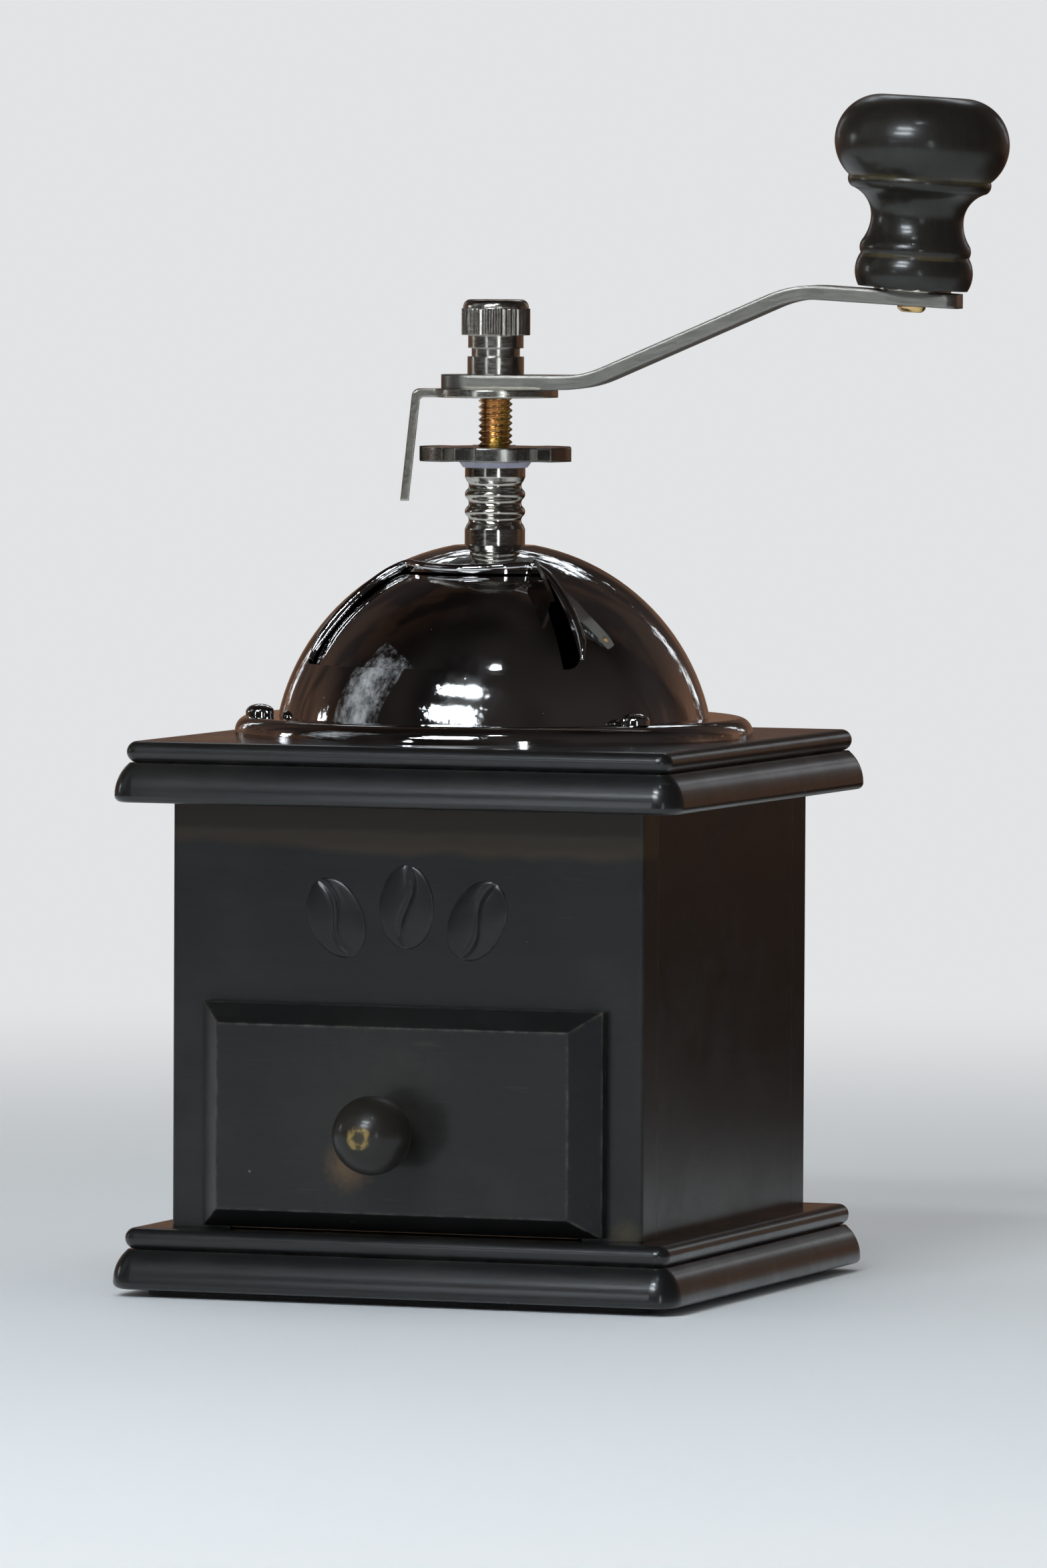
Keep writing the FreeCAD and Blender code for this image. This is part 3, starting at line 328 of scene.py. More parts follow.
def scratch_group():
    """Thin stray scratches in two directions."""
    tree, given, end = new_group("Fine scratches", {})
    mask = 0.0
    for turn in ((0.5, 0.9, 0.35), (-0.6, 0.4, -1.0)):
        turned = make(tree, "ShaderNodeMapping", {"Vector": given["Vector"], "Rotation": turn,
                                                  "Scale": (40.0, 900.0, 900.0)}).outputs[0]
        line = remap(noise(turned, 1.0, 1.0), 0.71, 0.76)
        mask = math_node("MAXIMUM", mask, line)
    rare = remap(noise(given["Vector"], 90.0, 2.0), 0.52, 0.62)
    feed(end, "Mask", times(mask, rare))
    return tree


def patch_group():
    """Soft ragged patch round one point."""
    tree, given, end = new_group("Worn patch", {"Centre": (0.0, 0.0, 0.0), "Reach": 0.005})
    away = vector_node("DISTANCE", given["Vector"], given["Centre"])
    uneven = times(noise(given["Vector"], 700.0, 6.0, 0.7), 0.7)
    ragged = plus(math_node("DIVIDE", away, given["Reach"]), uneven)
    feed(end, "Mask", remap(ragged, 1.25, 0.45))
    return tree


def shared_group(name):
    """The named group, made on first use."""
    makers = {"Wood streaks": grain_group, "Rubbed and glinting edges": edge_group, "Specks": speck_group,
              "Fine scratches": scratch_group, "Worn patch": patch_group}
    return bpy.data.node_groups.get(name) or makers[name]()


def use_group(name, place, **inputs):
    """Sets a shared group at a piece's coordinates and gives its outputs."""
    inputs["Vector"] = place
    return make(tree_of(place), "ShaderNodeGroup", inputs, node_tree=shared_group(name)).outputs


def new_material(name, rough=0.5, metal=0.0):
    """A material, its one Principled shader and coordinates that ride with the piece."""
    material = bpy.data.materials.new(name)
    material.use_nodes = True
    tree = material.node_tree
    shader = tree.nodes["Principled BSDF"]
    feed(shader, "Roughness", rough)
    feed(shader, "Metallic", metal)
    place = make(tree, "ShaderNodeTexCoord").outputs["Object"]
    return material, shader, place


def bump(shader, height, strength, distance, rounding=0.0):
    """Fine relief, on edges that are shaded as if rounded by a small radius."""
    tree = shader.id_data
    made = make(tree, "ShaderNodeBump", {"Strength": strength, "Distance": distance, "Height": height})
    if rounding:
        soft = make(tree, "ShaderNodeBevel", {"Radius": rounding}, samples=6)
        feed(made, "Normal", soft.outputs[0])
    feed(shader, "Normal", made.outputs["Normal"])


# Materials

def finishes():
    return bpy.context.scene.mill_finishes


def stained_wood(name, stretch, patches=(), rings=None, ring_tint=None, stain=None,
                 wear_and_edge_sheen=0.7, dull=0.0, gloss=1.0, rounding=0.0006):
    """Dark stain under thin lacquer, rubbed along the edges, which also carry a painted highlight.

    A patch is its centre, reach, share and tint. Rings gives the mask of bands in another tint.
    """
    finish = finishes()
    material, shader, place = new_material(name)
    feed(shader, "Specular IOR Level", 0.25)
    feed(shader, "Coat Weight", gloss * finish.lacquer)
    feed(shader, "Coat Roughness", finish.lacquer_roughness)
    streaks = use_group("Wood streaks", place, Stretch=stretch)
    tone = remap(streaks["Tone"], 0.3, 0.7, 0.80, 1.26)
    hue = scaled(stain or finish.black_stain, tone)
    cloud = remap(noise(place, 38.0, 5.0, 0.6), 0.50, 0.78, 0.0, 0.22)
    hue = mix_colours(cloud, hue, finish.thin_stain)
    # Rubbed pale edges, partly a painted edge highlight
    edges = use_group("Rubbed and glinting edges", place, Radius=0.0009, Share=wear_and_edge_sheen * finish.edge_wear_and_sheen)
    hue = mix_colours(edges["Mask"], hue, finish.rubbed_stain_and_edge_sheen)
    scratches = use_group("Fine scratches", place)
    hue = mix_colours(times(scratches["Mask"], 0.30), hue, finish.thin_stain)
    specks = use_group("Specks", place, Scale=480.0, Amount=0.022)
    hue = mix_colours(times(specks["Mask"], 0.34), hue, finish.dust)
    for centre, reach, share, tint in patches:
        worn = use_group("Worn patch", place, Centre=centre, Reach=reach)
        hue = mix_colours(times(worn["Mask"], share), hue, tint)
    if rings:
        hue = mix_colours(rings(place), hue, ring_tint)
    feed(shader, "Base Color", hue)
    rough = finish.wood_roughness + dull
    fine_gloss = remap(streaks["Tone"], 0.3, 0.7, rough - 0.02, rough + 0.04)
    broad_gloss = remap(noise(place, 60.0, 4.0), 0.38, 0.64, -0.04, 0.05)
    feed(shader, "Roughness", plus(fine_gloss, broad_gloss))
    swell = times(streaks["Height"], 0.4)
    for scale, height in ((150.0, 3.0), (1000.0, 2.0)):
        swell = plus(swell, times(noise(place, scale, 3.0), height))
    bump(shader, swell, 0.15, 0.00005, rounding)
    return material


def raw_wood(name, stretch):
    finish = finishes()
    material, shader, place = new_material(name, rough=0.62)
    streaks = use_group("Wood streaks", place, Stretch=stretch)
    tone = remap(streaks["Tone"], 0.35, 0.65)
    feed(shader, "Base Color", mix_colours(tone, finish.beech_pores, finish.raw_beech))
    bump(shader, streaks["Height"], 0.3, 0.00008)
    return material


def mirror_chrome(name, ripple=0.05, ripple_scale=45.0):
    """Bright plating with faint smears that only the gloss shows."""
    material, shader, place = new_material(name, metal=1.0)
    feed(shader, "Base Color", opaque(finishes().chrome))
    smears = noise(place, 60.0, 6.0, 0.7)
    specks = use_group("Specks", place, Scale=800.0, Amount=0.05)
    dull = plus(remap(smears, 0.45, 0.75, 0.035, 0.10), times(specks["Mask"], 0.25))
    feed(shader, "Roughness", dull)
    bump(shader, noise(place, ripple_scale, 2.0), ripple, 0.0004)
    return material


def satin_metal(name, base, rough, stretch, rounding=0.0003):
    """Plated metal with fine drawing marks, darker blotches and rubbed edges."""
    material, shader, place = new_material(name, metal=1.0)
    marks = noise(vector_node("MULTIPLY", place, stretch), 2600.0, 3.0)
    blotch = remap(noise(place, 130.0, 5.0, 0.6), 0.45, 0.80, 0.0, 0.35)
    hue = mix_colours(blotch, base, shade(base, 0.55))
    # Brighter rubbed edges, partly a painted edge highlight
    edges = use_group("Rubbed and glinting edges", place, Radius=0.0004, Share=0.5 * finishes().edge_wear_and_sheen)
    hue = mix_colours(edges["Mask"], hue, shade(base, 1.3))
    feed(shader, "Base Color", hue)
    feed(shader, "Roughness", remap(marks, 0.3, 0.7, rough - 0.03, rough + 0.05))
    bump(shader, marks, 0.05, 0.00003, rounding)
    return material


def yellow_zinc(name):
    """Yellow plating that shifts from gold to rosy."""
    material, shader, place = new_material(name, rough=0.24, metal=1.0)
    shift = remap(noise(place, 210.0, 3.0), 0.40, 0.62)
    gold = finishes().zinc
    rosy = (gold[0] * 0.86, gold[1] * 0.72, gold[2])
    feed(shader, "Base Color", mix_colours(shift, rosy, gold))
    bump(shader, noise(place, 2200.0), 0.15, 0.00004)
    return material


def rough_cast(name):
    material, shader, place = new_material(name, rough=0.55, metal=0.85)
    grit = noise(place, 900.0, 6.0, 0.65)
    iron = finishes().cast
    feed(shader, "Base Color", mix_colours(remap(grit, 0.35, 0.7), shade(iron, 0.5), iron))
    bump(shader, grit, 0.5, 0.00025)
    return material


def milky_nylon(name):
    material, shader, place = new_material(name, rough=0.42)
    cloud = remap(noise(place, 300.0, 4.0), 0.35, 0.7)
    nylon = finishes().nylon
    feed(shader, "Base Color", mix_colours(cloud, shade(nylon, 0.8), nylon))
    bump(shader, noise(place, 1500.0), 0.1, 0.00005)
    return material


def matted_felt(name):
    material, shader, place = new_material(name, rough=0.95)
    fibres = noise(place, 2400.0, 8.0, 0.75)
    felt = finishes().felt
    feed(shader, "Base Color", mix_colours(remap(fibres, 0.4, 0.75), felt, shade(felt, 2.2)))
    feed(shader, "Sheen Weight", 0.3)
    bump(shader, fibres, 0.7, 0.0003)
    return material


def paint(material, *nodes):
    """Gives solids a finish in place of their plain colour."""
    for name in nodes:
        mesh = frame["nodes"][name].data
        mesh.materials.clear()
        mesh.materials.append(material)


# Objects and meshes

def new_object(name, data):
    """An object of the scene with its mesh, lamp or camera."""
    made = bpy.data.objects.new(name, data)
    bpy.context.scene.collection.objects.link(made)
    return made


def mesh_from(name, build, smooth_angle=35.0):
    """Closes a bmesh into a mesh with smooth shading up to an angle."""
    mesh = bpy.data.meshes.new(name)
    bmesh.ops.recalc_face_normals(build, faces=build.faces)
    build.to_mesh(mesh)
    build.free()
    mesh.shade_smooth()
    mesh.set_sharp_from_angle(angle=math.radians(smooth_angle))
    return mesh


def add_piece(name, build, body, material, smooth_angle=35.0):
    """Closes a bmesh into a new object on one body, with its finish."""
    piece = new_object(name, mesh_from(name, build, smooth_angle))
    piece.data.materials.append(material)
    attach(piece, body)
    return piece


def angles_round(count):
    return [2 * math.pi * i / count for i in range(count)]


def quads_between(first, second):
    """The corners of the quads between two closed loops of vertices."""
    return zip(first, first[1:] + first[:1], second[1:] + second[:1], second)


def skin_rings(rings):
    """A bmesh of closed rings of points, joined by quads and closed at both ends."""
    build = bmesh.new()
    loops = [[build.verts.new(point) for point in ring] for ring in rings]
    for lower, upper in zip(loops, loops[1:]):
        for corners in quads_between(lower, upper):
            build.faces.new(corners)
    build.faces.new(loops[0][::-1])
    build.faces.new(loops[-1])
    return build


class MILL_OT_stain_wood(bpy.types.Operator):
    """Stain the case, the drawer front and the knobs black, and leave the drawer boards raw"""

    bl_idname = "mill.stain_wood"
    bl_label = "Stain the wood"

    def execute(self, context):
        finish = context.scene.mill_finishes
        panel_low, panel_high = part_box("front_panel")
        foot_corner = ((0.042, panel_low.y, panel_low.z + 0.001), 0.0045, 0.7, finish.olive_line)
        # Painted shade: a wavy band below the lid stands in for the lid's shadow
        lid_shadow_wave = 0.006
        lid_shadow_foot = panel_high.z - 0.0121
        lid_shadow_full = panel_high.z - 0.0101

        def lid_shadow_band(place):
            """Painted shade below the lid: a brown band with a wavy lower edge, where the lid's shadow falls.
            """
            wave = times(noise(place, 45.0, 2.0), lid_shadow_wave)
            level = math_node("SUBTRACT", axes(place)["Z"], wave)
            return times(remap(level, lid_shadow_foot, lid_shadow_full), 0.30)

        paint(stained_wood("black_wood_front", GRAIN_ACROSS, [foot_corner], lid_shadow_band, finish.lid_shadow_tint),
              "front_panel")
        paint(stained_wood("black_wood_back", GRAIN_ACROSS), "back_panel")
        paint(stained_wood("black_wood_sides", GRAIN_ALONG, wear_and_edge_sheen=0.3, rounding=0.0),
              "left_panel", "right_panel")
        paint(stained_wood("black_wood_plates", GRAIN_ACROSS, gloss=2.2), "base_plate", "top_plate")
        self.stain_drawer(finish)
        self.stain_crank_knob(finish)
        paint(raw_wood("raw_wood_lengthwise", GRAIN_ALONG), "drawer_left_side", "drawer_right_side",
              "drawer_bottom", "left_drawer_guide", "right_drawer_guide")
        paint(raw_wood("raw_wood_crosswise", GRAIN_ACROSS), "drawer_back")
        return {"FINISHED"}

    def stain_drawer(self, finish):
        pull_low, pull_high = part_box("drawer_pull")
        axis_level = (pull_low.z + pull_high.z) / 2
        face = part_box("drawer_front")[0].y
        rubbed = ((-0.0078, face, axis_level - 0.0062), 0.0066, 0.42, finish.rubbed_wood)
        handled = ((-0.004, face, axis_level + 0.002), 0.028, 0.25, finish.thin_stain)
        # The drawer's edges get the most rubbing and painted edge highlight
        paint(stained_wood("black_wood_drawer", GRAIN_ACROSS, [handled, rubbed], wear_and_edge_sheen=1.8), "drawer_front")
        ring_inside = (0.0012, 0.0020)
        ring_outside = (0.0030, 0.0023)

        def worn_ring(place):
            """Pale ring round the front pole of the pull, where the turning centre was."""
            parts = axes(place)
            rise = math_node("SUBTRACT", parts["Z"], axis_level)
            squares = [math_node("POWER", side, 2.0) for side in (parts["X"], rise)]
            radius = math_node("SQRT", plus(*squares))
            ragged = plus(radius, times(noise(place, 900.0, 5.0), 0.0011))
            band = times(remap(ragged, *ring_inside), remap(ragged, *ring_outside))
            patchy = remap(noise(place, 700.0, 3.0), 0.40, 0.55, 0.15, 1.0)
            front = math_node("LESS_THAN", parts["Y"], pull_low.y + 0.002)
            return times(times(band, patchy), front)

        pole = ((0.0, pull_low.y, axis_level), 0.0030, 0.5, finish.olive_line)
        paint(stained_wood("black_wood_pull", GRAIN_ALONG, [pole], worn_ring, finish.bare_wood,
                           finish.brown_stain, dull=0.07), "drawer_pull")

    def stain_crank_knob(self, finish):
        joint = next(j for j in frame["joints"] if j["name"] == "knob_spin")
        foot = Vector(joint["pos_m"])
        axis = Vector(joint["axis"])
        lower_groove = (0.00625, 0.0006)
        upper_groove = (0.0204, 0.0009)

        def pale_grooves(place):
            """Bands where the turned grooves lie, by their height on the knob and half their width."""
            along = vector_node("DOT_PRODUCT", place, axis)
            height = math_node("SUBTRACT", along, foot.dot(axis))
            bands = 0.0
            for level, reach in (lower_groove, upper_groove):
                away = math_node("ABSOLUTE", math_node("SUBTRACT", height, level))
                bands = plus(bands, remap(away, reach, reach * 0.25))
            patchy = remap(noise(place, 240.0, 5.0), 0.35, 0.62, 0.25, 1.0)
            return math_node("MULTIPLY", bands, patchy, clamp=True)

        paint(stained_wood("black_wood_knob", GRAIN_UPRIGHT, (), pale_grooves, finish.olive_line,
                           finish.brown_stain, gloss=1.6), "crank_knob", "knob_plug")


class MILL_OT_plate_metal(bpy.types.Operator):
    """Plate the dome, the crank gear and the fastenings, and finish the burrs"""

    bl_idname = "mill.plate_metal"
    bl_label = "Plate the metal"

    def execute(self, context):
        finish = context.scene.mill_finishes
        nickel = finish.nickel
        dull_nickel = finish.dull_nickel
        rough = finish.nickel_roughness
        even = (1.0, 1.0, 1.0)
        turned = (0.25, 0.25, 1.0)
        drawn = (0.15, 0.15, 1.0)
        paint(mirror_chrome("chrome_plate"), "dome_shell", "hopper_door")
        paint(satin_metal("nickel_turned", nickel, rough, turned), "cap_nut", "knob_washer")
        paint(satin_metal("nickel_sleeve", nickel, rough - 0.075, turned), "bearing_sleeve")
        paint(satin_metal("nickel_stamped", nickel, rough, even, 0.0005), "lock_plate")
        paint(satin_metal("nickel_wheel", dull_nickel, rough, even, 0.0005), "adjusting_wheel")
        paint(satin_metal("nickel_drawn", dull_nickel, rough + 0.12, drawn, 0.0008), "crank_arm")
        paint(yellow_zinc("zinc_plate"), "knob_spindle")
        paint(satin_metal("steel_plain", finish.steel, 0.32, even), "base_screws", "drawer_pull_screw",
              "sleeve_washer", "sleeve_lock_nut", "housing_screws", "bridge", "bridge_screws",
              "burr_spring", "burr_washer", "burr_nut")
        paint(rough_cast("cast_iron"), "burr_housing", "inner_burr", "outer_burr")
        return {"FINISHED"}


class MILL_OT_soft_sheets(bpy.types.Operator):
    """Finish the felt under the base and the nylon washer"""

    bl_idname = "mill.soft_sheets"
    bl_label = "Felt and nylon"

    def execute(self, context):
        paint(matted_felt("felt_sheet"), "base_felt")
        paint(milky_nylon("nylon_washer"), "thrust_washer")
        return {"FINISHED"}


class MILL_OT_thread_shaft(bpy.types.Operator):
    """Cut the adjusting thread on the shaft"""

    bl_idname = "mill.thread_shaft"
    bl_label = "Thread the shaft"

    segments: IntProperty(name="Segments", description="Sides of each ring", default=48, min=12)
    steps: IntProperty(name="Steps", description="Rings in one turn of the thread", default=12, min=6)

    def execute(self, context):
        sizes = context.scene.mill_sizes
        low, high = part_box("shaft")
        crest = (high.x - low.x) / 2
        neck_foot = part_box("crank_arm")[0].z - sizes.lock_plate_thickness
        turn = Matrix.Rotation(sizes.crank_angle, 3, "Z")
        crest_flat = 0.125
        flank_slope = 1.25

        def ring(radius_at, level):
            return [Vector((radius_at(a) * math.cos(a), radius_at(a) * math.sin(a), level))
                    for a in angles_round(self.segments)]

        def threaded(level):
            """Radius round the shaft at one level of a right-handed thread."""
            def radius_at(a):
                phase = (level / sizes.thread_pitch - a / (2 * math.pi)) % 1.0
                flank = min(1.0, max(0.0, abs(2 * phase - 1) * flank_slope - crest_flat))
                return crest - sizes.thread_depth * flank
            return radius_at

        def flattened(level):
            points = ring(lambda a: sizes.neck_radius, level)
            for point in points:
                point.y = max(-sizes.neck_flat, min(sizes.neck_flat, point.y))
            return [turn @ point for point in points]

        step = sizes.thread_pitch / self.steps
        count = int((neck_foot - sizes.thread_start) / step)
        rings = [ring(lambda a: crest, low.z), ring(lambda a: crest, sizes.thread_start)]
        levels = [sizes.thread_start + i * step for i in range(1, count)]
        rings += [ring(threaded(level), level) for level in levels]
        rings += [ring(lambda a: sizes.neck_radius, neck_foot), flattened(neck_foot), flattened(high.z)]
        piece = add_piece("shaft_threaded", skin_rings(rings), "rotor", yellow_zinc("zinc_thread"))
        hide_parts("shaft")
        return {"FINISHED"}


class MILL_OT_roll_window_edge(bpy.types.Operator):
    """Roll a bead along the sides and the top of the hopper window"""

    bl_idname = "mill.roll_window_edge"
    bl_label = "Roll the window edge"

    sides: IntProperty(name="Sides", description="Sides of the bead", default=12, min=6)

    def execute(self, context):
        sizes = context.scene.mill_sizes
        path = self.bead_path(sizes)
        rings = []
        centre = Vector((0.0, 0.0, sizes.dome_centre))
        blunt_end = 0.35
        end_growth = 0.16
        for i, point in enumerate(path):
            ahead = path[min(i + 1, len(path) - 1)]
            behind = path[max(i - 1, 0)]
            along = (ahead - behind).normalized()
            outward = (point - centre).normalized()
            across = along.cross(outward).normalized()
            taper = min(1.0, blunt_end + end_growth * min(i, len(path) - 1 - i))
            reach = sizes.bead_radius * taper
            rings.append([point + outward * (reach * math.cos(t)) + across * (reach * math.sin(t))
                          for t in angles_round(self.sides)])
        rippled = mirror_chrome("chrome_bead", ripple=0.3, ripple_scale=320.0)
        add_piece("window_bead", skin_rings(rings), "case", rippled, 60.0)
        return {"FINISHED"}

    def bead_path(self, sizes):
        """Points on the dome from the window's left foot, over its top, to its right foot."""
        left = sizes.window_turn - sizes.window_half
        right = sizes.window_turn + sizes.window_half + sizes.bead_clearance
        top = sizes.window_top - sizes.bead_lift
        foot = sizes.window_foot - math.radians(3.5)
        raised = top - math.radians(1.2)
        dipped = top + math.radians(1.6)
        corner = sizes.bead_corner
        side = [
            (0.0, foot - math.radians(4.0)),
            (0.0, (foot + top) / 2),
            (0.0, top + math.radians(6.0)),
            (corner * 0.35, top + math.radians(1.0)),
            (corner, raised),
            (corner * 2.4, top),
        ]
        stations = [(left + corner * 0.15, foot)]
        stations += [(left + inset, fall) for inset, fall in side]
        stations.append((sizes.window_turn, dipped))
        stations += [(right - inset, fall) for inset, fall in reversed(side)]
        stations.append((right - corner * 0.25, foot + math.radians(0.6)))
        curve = bpy.data.curves.new("bead_path", "CURVE")
        curve.dimensions = "3D"
        spline = curve.splines.new("NURBS")
        spline.points.add(len(stations) - 1)
        for place, (turn, fall) in zip(spline.points, stations):
            place.co = (*self.on_dome(sizes, turn, fall), 1.0)
        spline.order_u = 3
        spline.use_endpoint_u = True
        spline.resolution_u = 8
        holder = bpy.data.objects.new("bead_path", curve)
        line = bpy.data.meshes.new_from_object(holder)
        points = [vertex.co.copy() for vertex in line.vertices]
        bpy.data.objects.remove(holder)
        bpy.data.curves.remove(curve)
        bpy.data.meshes.remove(line)
        return points

    def on_dome(self, sizes, turn, fall):
        reach = sizes.dome_radius
        return Vector((reach * math.sin(fall) * math.sin(turn), -reach * math.sin(fall) * math.cos(turn),
                       sizes.dome_centre + reach * math.cos(fall)))


class MILL_OT_recess_screws(bpy.types.Operator):
    """Give the dome's screws rounded heads with a cross recess"""

    bl_idname = "mill.recess_screws"
    bl_label = "Recess the dome screws"

    segments: IntProperty(name="Segments", description="Sides of a head", default=40, min=12)

    def execute(self, context):
        sizes = context.scene.mill_sizes
        screw = self.screw_mesh(sizes)
        build = bmesh.new()
        screw_count = 3
        first_spin = 0.5
        next_spin = 1.1
        for i in range(screw_count):
            heading = sizes.screw_start + i * 2 * math.pi / screw_count
            start = len(build.verts)
            build.from_mesh(screw)
            build.verts.ensure_lookup_table()
            spun = Matrix.Rotation(first_spin + next_spin * i, 4, "Z")
            place = Vector((math.cos(heading), math.sin(heading), 0.0)) * sizes.screw_circle
            bmesh.ops.transform(build, matrix=Matrix.Translation(place) @ spun, verts=build.verts[start:])
        bpy.data.meshes.remove(screw)
        piece = add_piece("dome_screw_heads", build, "case", mirror_chrome("chrome_screws"), 40.0)
        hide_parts("dome_screws")
        return {"FINISHED"}

    def screw_mesh(self, sizes):
        """One screw on the Z axis, its recess cut out."""
        low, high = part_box("dome_screws")
        seat = sizes.screw_seat
        side = seat + (high.z - seat) * 0.35
        shank = sizes.screw_shank
        head = sizes.screw_head
        crown_steps = 9
        tip = shank * 0.6
        outline = [(tip, low.z), (shank, low.z + tip), (shank, seat), (head, seat), (head, side)]
        for i in range(1, crown_steps):
            slope = math.pi / 2 * i / crown_steps
            outline.append((head * math.cos(slope), side + (high.z - side) * math.sin(slope)))
        outline.append((head * 0.08, high.z))
        turns = angles_round(self.segments)
        rings = [[Vector((r * math.cos(t), r * math.sin(t), z)) for t in turns] for r, z in outline]
        body = mesh_from("screw_body", skin_rings(rings))
        for quarter in (0.0, math.pi / 2):
            bar = bmesh.new()
            scale = Matrix.Diagonal((sizes.recess_length, sizes.recess_width, sizes.recess_depth * 2, 1.0))
            spot = Matrix.Translation((0.0, 0.0, high.z))
            bmesh.ops.create_cube(bar, size=1.0, matrix=spot @ Matrix.Rotation(quarter, 4, "Z") @ scale)
            body = cut_mesh(body, mesh_from("recess_bar", bar))
        return body


def cut_mesh(body, cutter):
    """What is left of one closed mesh after another is taken away."""
    target = new_object("cut_target", body)
    tool = new_object("cut_tool", cutter)
    difference = target.modifiers.new("cut", "BOOLEAN")
    difference.operation = "DIFFERENCE"
    difference.solver = "EXACT"
    difference.object = tool
    bpy.context.view_layer.update()
    left = bpy.data.meshes.new_from_object(target.evaluated_get(bpy.context.evaluated_depsgraph_get()))
    for item in (target, tool):
        bpy.data.objects.remove(item)
    bpy.data.meshes.remove(body)
    bpy.data.meshes.remove(cutter)
    return left


class MILL_OT_press_beans(bpy.types.Operator):
    """Press three coffee beans in low relief on the front panel"""

    bl_idname = "mill.press_beans"
    bl_label = "Press the beans"

    rows: IntProperty(name="Rows", description="Points along a bean", default=61, min=11)
    columns: IntProperty(name="Columns", description="Points across a bean", default=45, min=9)

    def execute(self, context):
        sizes = context.scene.mill_sizes
        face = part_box("front_panel")[0].y
        build = bmesh.new()
        middle_lift = 0.16
        for step in (-1, 0, 1):
            rise = sizes.bean_spacing * middle_lift * (1 - abs(step))
            centre = Vector((step * sizes.bean_spacing, face, sizes.bean_level + rise))
            self.add_bean(build, sizes, centre, -step * sizes.bean_lean, 1 if step <= 0 else -1)
        wood = stained_wood("black_wood_beans", GRAIN_ACROSS)
        add_piece("pressed_beans", build, "case", wood, 50.0)
        return {"FINISHED"}

    def add_bean(self, build, sizes, centre, lean, hand):
        """A closed low dome with a curved crease; its back lies inside the panel."""
        def place(long, short, height):
            x = short * sizes.bean_width * math.cos(lean) - long * sizes.bean_length * math.sin(lean)
            z = short * sizes.bean_width * math.sin(lean) + long * sizes.bean_length * math.cos(lean)
            return centre + Vector((x, -height, z))

        def relief(long, short):
            crease_sway = 0.22
            crease_width = 0.10
            crease_depth = 0.9
            inside = max(0.0, 1.0 - long * long - short * short)
            sway = hand * crease_sway * math.sin(math.pi * long)
            crease = math.exp(-((short - sway) / crease_width) ** 2)
            return sizes.bean_relief * math.sqrt(inside) * (1.0 - crease_depth * crease)

        def spread(count):
            return [2 * i / (count - 1) - 1 for i in range(count)]

        def point(u, v, height_at):
            """A point of a square, moved to the bean's round outline."""
            long = u * math.sqrt(1 - v * v / 2)
            short = v * math.sqrt(1 - u * u / 2)
            return build.verts.new(place(long, short, height_at(long, short)))

        def grid(height_at):
            return [[point(u, v, height_at) for v in spread(self.columns)] for u in spread(self.rows)]

        top = grid(relief)
        back = grid(lambda long, short: -sizes.bean_relief)
        for rows in (top, back):
            for lower, upper in zip(rows, rows[1:]):
                for j in range(self.columns - 1):
                    build.faces.new((lower[j], lower[j + 1], upper[j + 1], upper[j]))
        for corners in quads_between(self.rim(top), self.rim(back)):
            build.faces.new(corners)

    def rim(self, rows):
        """The vertices round the edge of a grid."""
        right_side = [row[-1] for row in rows[1:]]
        left_side = [row[0] for row in rows[-2:0:-1]]
        return rows[0] + right_side + rows[-1][-2::-1] + left_side


def direction(turn, rise):
    """Unit vector at a turn from the front, to the right, and a rise over the horizon."""
    return Vector((math.sin(turn) * math.cos(rise), -math.cos(turn) * math.cos(rise), math.sin(rise)))


